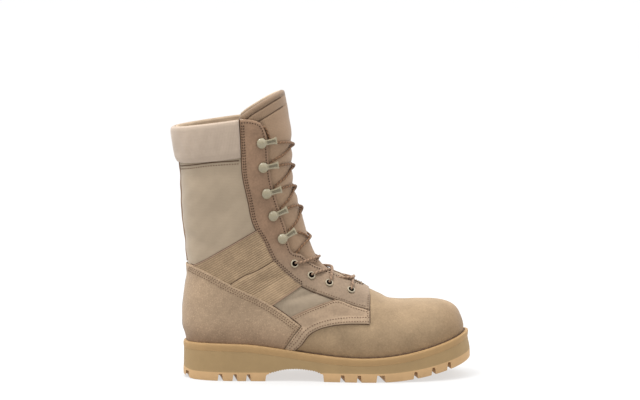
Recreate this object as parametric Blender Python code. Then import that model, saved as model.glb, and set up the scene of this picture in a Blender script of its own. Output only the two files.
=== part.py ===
"""A laced military boot for the right foot: lugged sole, hollow upper, overlays, tongue, hooks and lace.

Sizes are millimetres in the frame of the last: x runs from the back of the sole to the toe, z is up from
the floor and y is positive on the medial side. Objects are made in metres, in the frame of the part, whose
origin is under the middle of the boot's box.
"""

import math

import bmesh
import bpy
import numpy as np
from mathutils import Matrix, Vector

# Driving dimensions
SOLE_LENGTH = 304.0
CUFF_OVERHANG = 12.2
WALL = 2.4
GAP = 0.3
OVERLAY_GAP = 0.45
LEATHER = 1.4
BACK_DEPTH = 58.0
HEEL_ROUND = 2.3
TUCK_HEIGHT = 20.0
SOLE_LIP = 4.4
MIDSOLE_THICK = 7.6
INSOLE_THICK = 4.0
TONGUE_THICK = 4.5
LACE_RADIUS = 1.6

# Where the frame of the part lies in the frame of the last
MIDDLE_X = (SOLE_LENGTH - CUFF_OVERHANG) / 2
MIDDLE_Y = 0.28

# Sections of the last, from the toe to the top of the tongue. Each is a ray in the side view, from the
# ridge of the boot towards an aim point on the feather line or the back line. "half" is the half width,
# "mid" the section's middle, "shoulder" how far below the ridge the full width is reached, "round" the
# power of that curve, "tuck" the share of width lost at the feather line, and "open" how far the throat
# reaches down from the ridge.
SECTION_COLUMNS = ("ridge_x", "ridge_z", "aim_x", "aim_z", "mid", "half", "shoulder", "round", "tuck", "open")
SECTIONS = {
    "toe_tip": (297.2, 53.0, 297.2, 48.4, 5.0, 0.0, 10.0, 2.2, 0.03, 0.0),
    "toe_front": (295.2, 60.5, 295.2, 47.2, 5.0, 12.5, 15.0, 2.2, 0.03, 0.0),
    "toe_curve": (290.0, 71.0, 290.0, 45.0, 4.9, 23.5, 22.0, 2.2, 0.03, 0.0),
    "toe_shoulder": (281.0, 77.3, 281.0, 41.8, 4.6, 32.8, 28.0, 2.25, 0.03, 0.0),
    "toe_box": (267.0, 80.3, 267.0, 37.6, 4.0, 40.2, 33.0, 2.3, 0.03, 0.0),
    "toe_break": (248.0, 80.8, 248.0, 32.4, 3.0, 45.8, 38.0, 2.25, 0.03, 0.0),
    "ball": (224.0, 81.4, 223.0, 27.4, 1.5, 49.0, 43.0, 2.15, 0.04, 0.0),
    "vamp": (199.5, 91.0, 196.0, 25.0, -0.5, 48.5, 48.0, 2.05, 0.05, -0.5),
    "throat": (179.0, 102.0, 168.0, 25.6, -2.0, 45.5, 54.0, 2.0, 0.08, 1.2),
    "instep": (161.0, 112.0, 138.0, 28.8, -2.8, 41.8, 58.0, 2.0, 0.11, 3.0),
    "waist": (147.5, 122.0, 105.0, 33.6, -2.4, 38.8, 60.0, 1.95, 0.11, 6.4),
    "heel_breast": (140.0, 133.0, 70.0, 38.0, -1.0, 37.2, 60.0, 1.9, 0.07, 12.0),
    "heel_seat": (136.0, 143.0, 38.0, 39.0, 0.0, 37.0, 60.0, 1.9, 0.05, 16.5),
    "heel_round": (133.4, 152.0, 16.0, 39.0, 0.0, 37.2, 60.0, 1.9, 0.05, 25.0),
    "heel_corner": (131.2, 161.0, 4.9, 40.5, 0.0, 37.4, 60.0, 1.9, 0.05, 26.5),
    "heel_back": (128.2, 172.0, 0.9, 64.0, 0.0, 37.4, 59.0, 1.9, 0.05, 24.5),
    "ankle": (123.6, 187.0, 3.6, 95.0, 0.0, 38.0, 58.0, 1.9, 0.05, 24.3),
    "ankle_top": (119.6, 203.0, 5.0, 127.0, 0.0, 40.0, 57.0, 1.9, 0.05, 25.0),
    "shaft_low": (117.8, 221.0, 1.6, 163.0, 0.0, 43.0, 56.0, 1.9, 0.05, 27.0),
    "shaft_mid": (116.8, 240.0, -1.2, 200.0, 0.0, 45.0, 56.0, 1.9, 0.05, 27.5),
    "shaft_top": (115.2, 260.0, -3.5, 232.0, 0.0, 46.0, 56.0, 1.9, 0.05, 26.8),
    "collar": (112.4, 280.5, -7.0, 264.5, 0.0, 46.5, 56.0, 1.9, 0.05, 30.5),
    "tongue_mid": (109.8, 292.5, -8.5, 287.0, 0.0, 46.0, 56.0, 1.9, 0.05, 32.0),
    "tongue_top": (107.0, 305.0, -10.0, 309.0, 0.0, 45.0, 56.0, 1.9, 0.05, 34.0),
}
ROW = {name: number for number, name in enumerate(SECTIONS)}

# The feather line, where the upper meets the sole, as x and z
FEATHER = (
    (-5.0, 38.4), (40.0, 39.0), (70.0, 38.0), (105.0, 33.6), (138.0, 28.8), (168.0, 25.6),
    (197.0, 25.0), (224.0, 27.3), (248.0, 31.8), (267.0, 36.8), (281.0, 41.2), (306.0, 50.6),
)  # fmt: skip

# The back line of the upper, as z and x
BACK_LINE = (
    (30.0, 7.5), (43.0, 4.6), (52.0, 1.8), (64.0, 0.8), (80.0, 1.6), (95.0, 3.6), (112.0, 6.0),
    (125.0, 5.0), (150.0, 2.4), (175.0, 0.2), (200.0, -0.8), (214.0, -1.2), (235.0, -3.4),
    (264.0, -6.6), (310.0, -12.0),
)  # fmt: skip

# The mesh of the upper: parts that a stretch between two sections of the foot has, and points down a section
THROAT_START = ROW["vamp"] + 0.3
SECTION_PARTS = 2
SECTION_POINTS = 11
HEEL_PARTS = (-12 / 16, -4 / 16, -1 / 16, 4 / 16)

# Sole: rings of the midsole's side, toe spring, heel bevel, rings of the outsole's side and grooves between lugs
MIDSOLE_COLUMNS = ("lip", "below_feather")
MIDSOLE_SIDE = (
    (SOLE_LIP - 1.0, 0.0), (SOLE_LIP, 1.0), (SOLE_LIP + 0.4, MIDSOLE_THICK - 0.8),
    (SOLE_LIP - 0.2, MIDSOLE_THICK),
)  # fmt: skip
INSOLE_INSET = WALL + 1.2
TOE_SPRING = 19.0
SPRING_START = 202.0
HEEL_BEVEL = 3.0
HEEL_BEVEL_LENGTH = 14.0
TOE_FLARE = 2.2
FLARE_START = 240.0
LUG_BAND = 8.0
LUG_DEPTH = 6.5
GROOVE_SLANT = 7.0
GROOVE_START = 0.5
SIDE_COLUMNS = ("lip", "share_of_height", "above_tread")
OUTSOLE_SIDE = (
    (SOLE_LIP - 1.4, 1.0, 0.0), (SOLE_LIP - 0.5, 1.0, -1.0), (SOLE_LIP - 1.2, 0.6, 2.0),
    (SOLE_LIP + 0.5, 0.0, LUG_BAND), (SOLE_LIP + 0.9, 0.0, 1.2), (SOLE_LIP - 0.1, 0.0, 0.0),
)  # fmt: skip
GROOVE_COLUMNS = ("x", "width_at_floor", "width_at_root")
GROOVES = (
    (9.0, 4.0, 2.5), (41.5, 6.5, 3.5), (56.5, 6.0, 3.0), (70.5, 5.5, 3.0),
    (167.5, 5.5, 4.0), (184.5, 5.0, 4.0), (207.0, 10.0, 8.0), (244.0, 5.0, 3.0), (263.5, 5.0, 3.0),
    (281.0, 5.0, 3.0),
)  # fmt: skip
ARCH = (
    (86.0, -5.0), (87.5, 0.5), (91.5, 4.5), (99.0, 8.0), (110.0, 11.8), (122.0, 12.6), (134.0, 11.0),
    (143.0, 8.5), (147.0, 7.5), (149.0, -5.0),
)  # fmt: skip

# Tongue: how far it runs in under the upper, how its top edge falls and how far it tucks under the vamp
TONGUE_GAP = 0.7
TONGUE_LAP = 13.0
TONGUE_FALL = 1.75
TONGUE_ROWS = 22
TONGUE_COLUMNS = 11
TONGUE_START = ROW["vamp"] - 0.05

# Overlays, as outlines of x and z in the side view, cut from a skin over the upper
COUNTER = (
    (-25.0, 122.0), (7.6, 121.0), (16.0, 118.7), (51.0, 101.6), (94.2, 79.7), (111.2, 68.4),
    (124.8, 58.3), (107.5, 33.0), (102.0, 20.0), (30.0, 20.0), (14.0, 41.2), (-25.0, 41.2),
)  # fmt: skip
EYESTAY = (
    (61.6, 300.0), (61.6, 274.3), (63.5, 234.1), (64.5, 217.0), (69.6, 191.7), (77.3, 160.3),
    (84.2, 149.1), (95.7, 125.8), (108.3, 112.7), (124.0, 100.0), (160.7, 85.3), (195.8, 74.2),
    (195.8, 120.0), (160.0, 300.0),
)  # fmt: skip
STRAP = (
    (114.8, 67.0), (128.4, 73.4), (148.6, 81.0), (160.7, 84.8), (195.8, 73.7), (195.8, 60.9),
    (171.8, 61.1), (155.0, 60.0), (134.1, 50.4), (124.8, 38.6), (116.5, 31.7), (112.0, 20.0),
    (99.8, 20.0), (125.5, 58.3),
)  # fmt: skip

# Padded cuff: sections of its lower edge, front edges down their rays, and its thickness up its height
CUFF_SEAT = 0.7
CUFF_LOW = (19.48, 19.84)
CUFF_FRONT = (55.6, 52.2)
CUFF_PAD = ((0.0, 1.0), (0.12, 2.6), (0.35, 4.6), (0.6, 6.0), (0.8, 6.2), (0.93, 4.8), (1.0, 2.4))
CUFF_ROWS = (0.0, 0.12, 0.35, 0.6, 0.8, 0.93, 1.0)
CUFF_COLUMNS = 11

# Lacing hardware, as x and z in the side view, and for a hook also where its arm points
EYELETS = ((176.4, 93.3), (153.6, 101.2), (135.0, 109.2), (117.2, 122.1))
HOOK_COLUMNS = ("head_x", "head_z", "tip_x", "tip_z")
HOOKS = (
    (104.6, 148.6, 118.0, 156.1), (95.0, 172.8, 109.5, 178.6), (88.2, 196.6, 103.7, 200.1),
    (84.8, 223.8, 101.3, 226.0), (83.1, 248.9, 99.2, 251.3),
)  # fmt: skip
HARDWARE_GAP = 0.45
EYELET_SIDES = 10
EYELET_PROFILE = ((2.4, -3.6), (2.9, -3.6), (2.9, 0.0), (4.5, 0.0), (4.2, 0.8), (2.7, 0.9))
HOLE_RADIUS = 3.3
HOLE_FROM, HOLE_TO = -9.0, 4.0
HEAD_SIDES = 12
HEAD_PROFILE = ((0.0, 0.0), (5.8, 0.0), (5.8, 1.2), (4.4, 2.2), (0.0, 2.6))
ARM_FROM, ARM_TO, ARM_WIDTH = 2.5, 16.4, 5.6
ARM_LOW, ARM_HIGH = 0.9, 2.1

# Lace: how far its turns lie from the eyelets and the throat's edge, and its height over the upper
LACE_FROM_EYELET = 6.6
LACE_FROM_EDGE = 4.5
LACE_OVER_EYESTAY = 4.2
LACE_UNDER_HOOK = -0.7
LACE_AT_RIDGE = 0.8
LACE_TURN = 5.5
LACE_OVER_EDGE = 3.6
LACE_STEPS = 5
TURN_STEPS = (0, 0.33, 0.67, 1)

# Reaches of cutters past the boot's sides and below its tread, and of the search along a ray
PAST_SIDE = 90.0
BELOW_TREAD = 8.0
LONGEST_RAY = 260.0
HALVINGS = 40
SIDE_PLANES = {"lateral": (-PAST_SIDE, -1.2), "medial": (0.4, PAST_SIDE)}
SIDES = ((-1, "lateral"), (1, "medial"))
BOX_FACES = ((0, 1, 3, 2), (4, 6, 7, 5), (0, 4, 5, 1), (2, 3, 7, 6), (0, 2, 6, 4), (1, 5, 7, 3))

# Start from an empty scene
for existing in list(bpy.data.objects):
    bpy.data.objects.remove(existing)


def smooth(table, at):
    """Cubic curve through a table's (key, value) rows, read at the keys given."""
    keys, values = np.array(table, float).T
    slopes = np.gradient(values, keys)
    at = np.clip(np.asarray(at, float), keys[0], keys[-1])
    i = np.clip(np.searchsorted(keys, at) - 1, 0, len(keys) - 2)
    step = keys[i + 1] - keys[i]
    f = (at - keys[i]) / step
    rise = values[i + 1] - values[i]
    bend = slopes[i] * step * f * (1 - f) ** 2 - slopes[i + 1] * step * f**2 * (1 - f)
    return values[i] + rise * f**2 * (3 - 2 * f) + bend


def section(u):
    """The columns of the section table at row numbers u, on a smooth curve through the rows."""
    rows = np.array(list(SECTIONS.values()), float)
    before = rows[1].copy()
    before[SECTION_COLUMNS.index("half")] *= -1
    padded = np.vstack([before, rows, 2 * rows[-1] - rows[-2]])
    u = np.clip(np.asarray(u, float), 0, len(rows) - 1)
    i = np.minimum(u.astype(int), len(rows) - 2)
    f = (u - i)[..., None]
    a, b, c, d = (padded[i + k] for k in range(4))
    curve = b + 0.5 * f * ((c - a) + f * ((2 * a - 5 * b + 4 * c - d) + f * (3 * (b - c) + d - a)))
    return dict(zip(SECTION_COLUMNS, np.moveaxis(curve, -1, 0)))


def ray(u, offset):
    """Start point and direction of a section in the side view, its start moved out by offset."""
    here, ahead, behind = section(u), section(np.asarray(u) + 0.01), section(np.asarray(u) - 0.01)
    along = np.stack([ahead["ridge_x"] - behind["ridge_x"], ahead["ridge_z"] - behind["ridge_z"]], -1)
    along /= np.linalg.norm(along, axis=-1, keepdims=True)
    ridge = np.stack([here["ridge_x"], here["ridge_z"]], -1)
    down = np.stack([here["aim_x"], here["aim_z"]], -1) - ridge
    down /= np.linalg.norm(down, axis=-1, keepdims=True)
    outward = np.stack([along[..., 1], -along[..., 0]], -1)
    return ridge + outward * np.asarray(offset)[..., None], down


def quarter(share, power):
    """Height of a superellipse's quarter, 0 at share 0 and 1 from share 1 on."""
    left = 1 - np.clip(share, 0, 1)
    return (1 - left**power) ** (1 / power)


def form(u, distance, side, offset=0.0):
    """Points of the last, grown by offset: sections u, distances down their rays, side -1 or 1."""
    start, down = ray(u, offset)
    x, z = np.moveaxis(start + down * np.asarray(distance)[..., None], -1, 0)
    here = section(u)
    top = quarter(distance / (here["shoulder"] + offset), here["round"])
    back = quarter((x - smooth(BACK_LINE, z) + offset) / (BACK_DEPTH + offset), HEEL_ROUND)
    height = np.clip((z - smooth(FEATHER, x)) / TUCK_HEIGHT, 0, 1)
    tuck = 1 - here["tuck"] * (1 - height) ** 2
    half = np.maximum(here["half"] + offset, 0) * top * back * tuck
    return np.stack([x, here["mid"] + side * half, z], -1)


def reach(u, offset=0.0, above=GAP):
    """How far each section runs down to the feather line, or back to the back line."""
    start, down = ray(u, offset)
    low, high = np.zeros(len(u)), np.full(len(u), LONGEST_RAY)
    for _ in range(HALVINGS):
        half = (low + high) / 2
        x, z = (start + down * half[:, None]).T
        inside = (z > smooth(FEATHER, x) + above) & (x > smooth(BACK_LINE, z) - offset)
        low, high = np.where(inside, half, low), np.where(inside, high, half)
    return low


def placed(points):
    """Points of the last as vectors in the frame of the part, in metres."""
    return [Vector(p) / 1000 for p in np.asarray(points).reshape(-1, 3) - (MIDDLE_X, MIDDLE_Y, 0)]


def locate(x, z):
    """The section and the distance down its ray that a point of the side view lies at."""
    low, high = np.zeros(np.shape(x)), np.full(np.shape(x), len(SECTIONS) - 1.0)
    for _ in range(HALVINGS):
        u = (low + high) / 2
        start, down = ray(u, np.zeros(np.shape(u)))
        before = (x - start[..., 0]) * down[..., 1] - (z - start[..., 1]) * down[..., 0] > 0
        low, high = np.where(before, u, low), np.where(before, high, u)
    start, down = ray(low, np.zeros(np.shape(low)))
    return low, (x - start[..., 0]) * down[..., 0] + (z - start[..., 1]) * down[..., 1]


def spot(x, z, side):
    """Point of the upper's surface at a place in the side view, and the way out of it."""
    step = 0.5
    xs, zs = np.array([x, x - step, x + step, x, x]), np.array([z, z, z, z - step, z + step])
    y = form(*locate(xs, zs), side)[:, 1]
    way = Vector(((y[1] - y[2]) / (2 * step), 1.0, (y[3] - y[4]) / (2 * step))) * side
    return np.array([x, y[0], z]), way.normalized()


def collection(name):
    made = bpy.data.collections.new(name)
    bpy.context.scene.collection.children.link(made)
    return made


def material(name, colour, roughness, metallic=0.0):
    made = bpy.data.materials.new(name)
    made.use_nodes = True
    shader = made.node_tree.nodes["Principled BSDF"]
    shader.inputs["Base Color"].default_value = (*colour, 1.0)
    shader.inputs["Roughness"].default_value = roughness
    shader.inputs["Metallic"].default_value = metallic
    return made


def solid(name, vertices, faces, finish=None):
    """An object from vertices in metres. One without a finish is a cutter, hidden in its own collection."""
    mesh = bpy.data.meshes.new(name)
    mesh.from_pydata(vertices, [], faces)
    work = bmesh.new()
    work.from_mesh(mesh)
    bmesh.ops.recalc_face_normals(work, faces=work.faces)
    work.to_mesh(mesh)
    work.free()
    obj = bpy.data.objects.new(name, mesh)
    if finish is None:
        CUTTERS.objects.link(obj)
        obj.hide_render = True
        obj.display_type = "WIRE"
    else:
        PARTS.objects.link(obj)
        mesh.materials.append(finish)
    return obj


def boolean(obj, operand, operation):
    modifier = obj.modifiers.new(operand.name, "BOOLEAN")
    modifier.operation = operation
    modifier.solver = "EXACT"
    modifier.object = operand


def evaluated_mesh(obj):
    bpy.context.view_layer.update()
    return bpy.data.meshes.new_from_object(obj.evaluated_get(bpy.context.evaluated_depsgraph_get()))


def prism(name, outline, y_from, y_to):
    """Cutter with a flat outline of x and z, between two planes across the boot."""
    points = placed([(x, y, z) for y in (y_from, y_to) for x, z in outline])
    count = len(outline)
    ring = [(i, (i + 1) % count, (i + 1) % count + count, i + count) for i in range(count)]
    return solid(name, points, [*ring, tuple(range(count)), tuple(range(count, 2 * count))])


def thick_skin(name, outer, inner, faces, finish=None):
    """Closed solid between two skins with the same faces, its open borders joined by rims."""
    count = len(outer)
    edges = {(face[k - 1], face[k]) for face in faces for k in range(len(face))}
    rims = [(b, a, a + count, b + count) for a, b in edges if (b, a) not in edges]
    insides = [tuple(index + count for index in reversed(face)) for face in faces]
    return solid(name, placed(np.vstack([outer, inner])), [*faces, *insides, *rims], finish)


def upper_rows():
    """Row numbers of the upper's mesh, closer together around the back of the heel."""
    foot = np.arange(0, ROW["heel_back"], 1 / SECTION_PARTS)
    shaft = np.arange(ROW["heel_back"], ROW["collar"] + 1)
    heel = [ROW["heel_corner"] + part for part in HEEL_PARTS]
    return np.unique(np.concatenate([foot, shaft, heel, [THROAT_START]]))


def upper_skin(offset, rows):
    """Points of both sides of the upper, as an array of sides, rows and points down each section."""
    start = np.where(rows > THROAT_START, np.maximum(section(rows)["open"], 0), 0)
    end = reach(rows, offset)
    share = (1 - np.cos(np.linspace(0, math.pi, SECTION_POINTS))) / 2
    distance = start[:, None] + (end - start)[:, None] * share
    u = np.repeat(rows[:, None], SECTION_POINTS, 1)
    return np.stack([form(u, distance, side, np.full(u.shape, offset)) for side in (-1, 1)])


def upper_faces(rows):
    """Triangles of both sides, and the vertices kept: the sides share the stem, the ridge and the back."""
    count = len(rows) * SECTION_POINTS
    index = np.arange(2 * count).reshape(2, len(rows), SECTION_POINTS)
    index[1, 0] = index[0, 0]
    closed = rows <= THROAT_START + 1e-6
    index[1, closed, 0] = index[0, closed, 0]
    behind = rows >= ROW["heel_corner"] - 1e-6
    index[1, behind, -1] = index[0, behind, -1]
    kept, flat = np.unique(index, return_inverse=True)
    index = flat.reshape(index.shape)
    a, b, c, d = index[:, :-1, :-1], index[:, 1:, :-1], index[:, 1:, 1:], index[:, :-1, 1:]
    halves = np.stack([np.stack([a, b, c], -1), np.stack([a, c, d], -1)], 1)
    faces = [*halves[0].reshape(-1, 3).tolist(), *halves[1, ..., ::-1].reshape(-1, 3).tolist()]
    return faces, kept


def upper_form(name, low, high, finish=None):
    """Hollow form of the upper between two offsets of its surface."""
    rows = upper_rows()
    faces, kept = upper_faces(rows)
    outer, inner = (upper_skin(offset, rows).reshape(-1, 3)[kept] for offset in (high, low))
    return thick_skin(name, outer, inner, faces, finish)


def sole_rows():
    rows = upper_rows()
    return rows[rows <= ROW["heel_corner"] + 1e-6]


def feather_ring(inset):
    """Plan of the feather line, the last moved in by inset: down the lateral side and back up the medial."""
    rows = sole_rows()
    offset = np.full(len(rows), -inset)
    lateral, medial = (form(rows, reach(rows, -inset), side, offset)[:, :2] for side in (-1, 1))
    return np.vstack([lateral, medial[-2:0:-1]])


def grown(ring, lip):
    """A plan ring moved out by lip, given for each of its points."""
    along = np.roll(ring, -1, 0) - np.roll(ring, 1, 0)
    along /= np.linalg.norm(along, axis=1, keepdims=True)
    return ring + np.stack([-along[:, 1], along[:, 0]], 1) * np.reshape(lip, (-1, 1))


def stack(name, rings, finish):
    """Solid through rings of points, with caps that join the two sides of the first and last ring."""
    count = len(rings[0])
    faces = []
    for level in range(len(rings) - 1):
        low = level * count
        faces += [(low + i, low + (i + 1) % count, low + count + (i + 1) % count, low + count + i)
                  for i in range(count)]
    for low in (0, (len(rings) - 1) * count):
        last = count // 2
        faces += [(low + i, low + i + 1, low + (count - i - 1) % count, low + (count - i) % count)
                  for i in range(1, last - 1)]
        faces += [(low, low + 1, low + count - 1), (low + last - 1, low + last, low + last + 1)]
    return solid(name, placed(np.vstack(rings)), faces, finish)


def at_height(plan, height):
    return np.column_stack([plan, height(plan[:, 0])])


def tread(x):
    """Height of the tread: flat heel and forefoot, a bevel at the back and the toe spring."""
    spring = TOE_SPRING * (np.maximum(x - SPRING_START, 0) / (SOLE_LENGTH - SPRING_START)) ** 2
    return spring + HEEL_BEVEL * np.clip(1 - x / HEEL_BEVEL_LENGTH, 0, 1) ** 2


def outsole_top(x):
    return smooth(FEATHER, x) - MIDSOLE_THICK - GAP


def make_midsole(finish):
    ring = feather_ring(0.0)
    rings = []
    for lip, drop in MIDSOLE_SIDE:
        rings.append(at_height(grown(ring, lip), lambda x, drop=drop: smooth(FEATHER, x) - drop))
    return stack("midsole", rings, finish)


def make_outsole(finish):
    ring = feather_ring(0.0)
    flare = TOE_FLARE * np.clip((ring[:, 0] - FLARE_START) / (SOLE_LENGTH - FLARE_START), 0, 1)
    rings = []
    for lip, share, above in OUTSOLE_SIDE:
        plan = grown(ring, lip + flare * (1 - share))
        x = plan[:, 0]
        rings.append(np.column_stack([plan, tread(x) + above + share * (outsole_top(x) - tread(x))]))
    obj = stack("outsole", rings, finish)
    boolean(obj, prism("arch_cutter", ARCH, -PAST_SIDE, PAST_SIDE), "DIFFERENCE")
    for side in (-1, 1):
        points, faces = [], []
        for x, floor_width, root_width in GROOVES:
            lift = float(tread(np.array(x)))
            for y, shift in ((GROOVE_START * side, -GROOVE_SLANT), (PAST_SIDE * side, GROOVE_SLANT)):
                for z, width in ((lift - BELOW_TREAD, floor_width), (lift + LUG_DEPTH, root_width)):
                    points += [(x + shift - width / 2, y, z), (x + shift + width / 2, y, z)]
            first = len(points) - 8
            faces += [tuple(first + k for k in face) for face in BOX_FACES]
        boolean(obj, solid(f"groove_cutter_{side}", placed(points), faces), "DIFFERENCE")
    return obj


def make_insole(finish):
    ring = feather_ring(INSOLE_INSET)
    rings = [at_height(ring, lambda x, up=up: smooth(FEATHER, x) + up) for up in (INSOLE_THICK, GAP)]
    return stack("insole", rings, finish)


def tongue_grid():
    """Sections and signed distances of the tongue's grid, its columns even across the ridge."""
    across = np.linspace(-1, 1, TONGUE_COLUMNS)
    top = ROW["tongue_top"] - TONGUE_FALL * np.abs(across) ** 1.3
    up = np.linspace(0, 1, TONGUE_ROWS)[:, None]
    u = TONGUE_START + (top - TONGUE_START) * up
    wide = np.maximum(section(u)["open"], 0) + TONGUE_LAP * (0.6 + 0.4 * np.clip(up * 4, 0, 1))
    return u, wide * across**2, np.sign(across) * np.ones_like(u)


def make_tongue(finish):
    u, distance, side = tongue_grid()
    skins = []
    for depth in (WALL + TONGUE_GAP, WALL + TONGUE_GAP + TONGUE_THICK):
        skins.append(form(u, distance, side, np.full(u.shape, -depth)).reshape(-1, 3))
    index = np.arange(u.size).reshape(u.shape)
    faces = np.stack([index[:-1, :-1], index[:-1, 1:], index[1:, 1:], index[1:, :-1]], -1).reshape(-1, 4)
    return thick_skin("tongue", *skins, faces.tolist(), finish)


def make_overlay(name, outline, sides, finish):
    obj = upper_form(name, OVERLAY_GAP, OVERLAY_GAP + LEATHER, finish)
    boolean(obj, prism(f"{name}_outline", outline, *sides), "INTERSECT")
    return obj


def make_cuff(finish):
    share = np.sin(np.linspace(0, math.pi / 2, CUFF_COLUMNS))
    share, side = np.concatenate([share, share[-2::-1]]), np.repeat([-1, 1], [CUFF_COLUMNS, CUFF_COLUMNS - 1])
    up = np.array(CUFF_ROWS)[:, None]
    low = CUFF_LOW[0] + (CUFF_LOW[1] - CUFF_LOW[0]) * share
    u = low + (ROW["collar"] - low) * up
    front = CUFF_FRONT[0] + (CUFF_FRONT[1] - CUFF_FRONT[0]) * up
    skins = []
    for pad in (smooth(CUFF_PAD, up), np.zeros_like(up)):
        offset = (CUFF_SEAT + pad) * np.ones_like(u)
        end = reach(u.ravel(), offset.ravel()).reshape(u.shape)
        begin = front + offset
        skins.append(form(u, begin + (end - begin) * share, side * np.ones_like(u), offset).reshape(-1, 3))
    index = np.arange(u.size).reshape(u.shape)
    faces = np.stack([index[:-1, :-1], index[:-1, 1:], index[1:, 1:], index[1:, :-1]], -1).reshape(-1, 4)
    return thick_skin("collar_cuff", *skins, faces.tolist(), finish)


def seat(x, z, side, toward=None):
    """Matrix at a place on the outside of an overlay: Z is the way out, X the way to a second place."""
    point, out = spot(x, z, side)
    point = placed(point)[0] + out * (OVERLAY_GAP + LEATHER + HARDWARE_GAP) / 1000
    along = Vector((toward[0] - x, 0, toward[1] - z)) if toward else Vector((1, 0, 0))
    along = (along - out * along.dot(out)).normalized()
    return Matrix.Translation(point) @ Matrix((along, out.cross(along), out)).transposed().to_4x4()


def turned(profile, sides, closed):
    """Vertices in metres and faces of a profile of radius and height, turned about Z."""
    turn = [2 * math.pi * i / sides for i in range(sides)]
    points = [(r * math.cos(a) / 1000, r * math.sin(a) / 1000, h / 1000) for a in turn for r, h in profile]
    count, faces = len(profile), []
    for i in range(sides):
        here, there = i * count, (i + 1) % sides * count
        for k in range(count if closed else count - 1):
            after = (k + 1) % count
            faces.append((here + k, there + k, there + after, here + after))
    return points, faces


def weld(mesh):
    work = bmesh.new()
    work.from_mesh(mesh)
    bmesh.ops.remove_doubles(work, verts=work.verts, dist=1e-6)
    bmesh.ops.recalc_face_normals(work, faces=work.faces)
    work.to_mesh(mesh)
    work.free()


def eyelet_cutter():
    """Cylinders through the upper and the eyestays, one at each eyelet."""
    points, faces = [], []
    for x, z in EYELETS:
        for side in (-1, 1):
            first = len(points)
            ring, _ = turned(((HOLE_RADIUS, HOLE_FROM), (HOLE_RADIUS, HOLE_TO)), HEAD_SIDES, False)
            points += [seat(x, z, side) @ Vector(p) for p in ring]
            low, high = range(first, first + 2 * HEAD_SIDES, 2), range(first + 1, first + 2 * HEAD_SIDES, 2)
            faces += [(low[i - 1], low[i], high[i], high[i - 1]) for i in range(HEAD_SIDES)]
            faces += [tuple(low), tuple(high)]
    return solid("eyelet_cutter", points, faces)


def make_eyelets(finish):
    points, faces = turned(EYELET_PROFILE, EYELET_SIDES, True)
    for number, (x, z) in enumerate(EYELETS, 1):
        for side, label in SIDES:
            solid(f"eyelet_{label}_{number}", [seat(x, z, side) @ Vector(p) for p in points], faces, finish)


def hook_mesh():
    """Domed rivet head with a flat arm, as one mesh in the hook's own frame."""
    head = solid("hook_head", *turned(HEAD_PROFILE, HEAD_SIDES, False))
    weld(head.data)
    corners = [(x / 1000, y * ARM_WIDTH / 2000, z / 1000) for x in (ARM_FROM, ARM_TO) for y in (-1, 1)
               for z in (ARM_LOW, ARM_HIGH)]
    boolean(head, solid("hook_arm", corners, BOX_FACES), "UNION")
    return evaluated_mesh(head)


def make_hooks(finish):
    mesh = hook_mesh()
    faces = [tuple(face.vertices) for face in mesh.polygons]
    for number, (x, z, tip_x, tip_z) in enumerate(HOOKS, 1):
        for side, label in SIDES:
            where = seat(x, z, side, (tip_x, tip_z))
            solid(f"hook_{label}_{number}", [where @ v.co for v in mesh.vertices], faces, finish)


def lace_turns():
    """Section, root of the distance from the ridge, and height over the upper at each turn of the lace."""
    turns = []
    for x, z in EYELETS:
        u, distance = locate(x, z)
        turns.append((float(u), math.sqrt(distance - LACE_FROM_EYELET), LACE_OVER_EYESTAY))
    for x, z, _, tip_z in HOOKS:
        u, _ = locate(x, (z + tip_z) / 2)
        turns.append((float(u), math.sqrt(section(u)["open"] - LACE_FROM_EDGE), LACE_UNDER_HOOK))
    return turns


def lace_strand(first_side):
    """Line of one strand, from side to side up the boot, its turns rounded."""
    turns = [(u, first_side * (-1) ** n * root, over) for n, (u, root, over) in enumerate(lace_turns())]
    if first_side < 0:
        u, root, over = turns[0]
        turns.insert(0, (u, -root * 0.5, over))
    line, corners = [], []
    for a, b in zip(turns, turns[1:]):
        corners.append(len(line))
        for share in np.arange(LACE_STEPS) / LACE_STEPS:
            u, root = a[0] + (b[0] - a[0]) * share, a[1] + (b[1] - a[1]) * share
            edge = a[2] if share < 0.5 else b[2]
            near = abs(2 * share - 1) ** 0.6
            over = LACE_AT_RIDGE + (edge - LACE_AT_RIDGE) * near
            if max(a[2], b[2]) > 0:
                over = max(over, LACE_AT_RIDGE + LACE_OVER_EDGE * (1 if edge > 0 else near))
            line.append(form(np.array(u), np.array(root**2), np.sign(root), np.array(over)))
    last = turns[-1]
    line.append(form(np.array(last[0]), np.array(last[1] ** 2), np.sign(last[1]), np.array(last[2])))
    rounded = []
    for n, point in enumerate(line):
        if n in corners[1:]:
            to_a, to_b = line[n - 1] - point, line[n + 1] - point
            a = point + to_a * min(0.6, LACE_TURN / np.linalg.norm(to_a))
            b = point + to_b * min(0.6, LACE_TURN / np.linalg.norm(to_b))
            rounded += [(1 - s) ** 2 * a + 2 * s * (1 - s) * point + s * s * b for s in TURN_STEPS]
        else:
            rounded.append(point)
    return placed(rounded)


def make_strand(name, line):
    curve = bpy.data.curves.new(name, "CURVE")
    curve.dimensions = "3D"
    curve.bevel_depth = LACE_RADIUS / 1000
    curve.bevel_resolution = 1
    curve.use_fill_caps = True
    spline = curve.splines.new("POLY")
    spline.points.add(len(line) - 1)
    for point, place in zip(spline.points, line):
        point.co = (*place, 1)
    holder = bpy.data.objects.new(name, curve)
    CUTTERS.objects.link(holder)
    mesh = evaluated_mesh(holder)
    bpy.data.objects.remove(holder)
    weld(mesh)
    return [v.co.copy() for v in mesh.vertices], [tuple(face.vertices) for face in mesh.polygons]


def make_lace(finish):
    obj = solid("lace", *make_strand("strand", lace_strand(1)), finish)
    boolean(obj, solid("lace_strand", *make_strand("strand", lace_strand(-1))), "UNION")
    return obj


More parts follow.
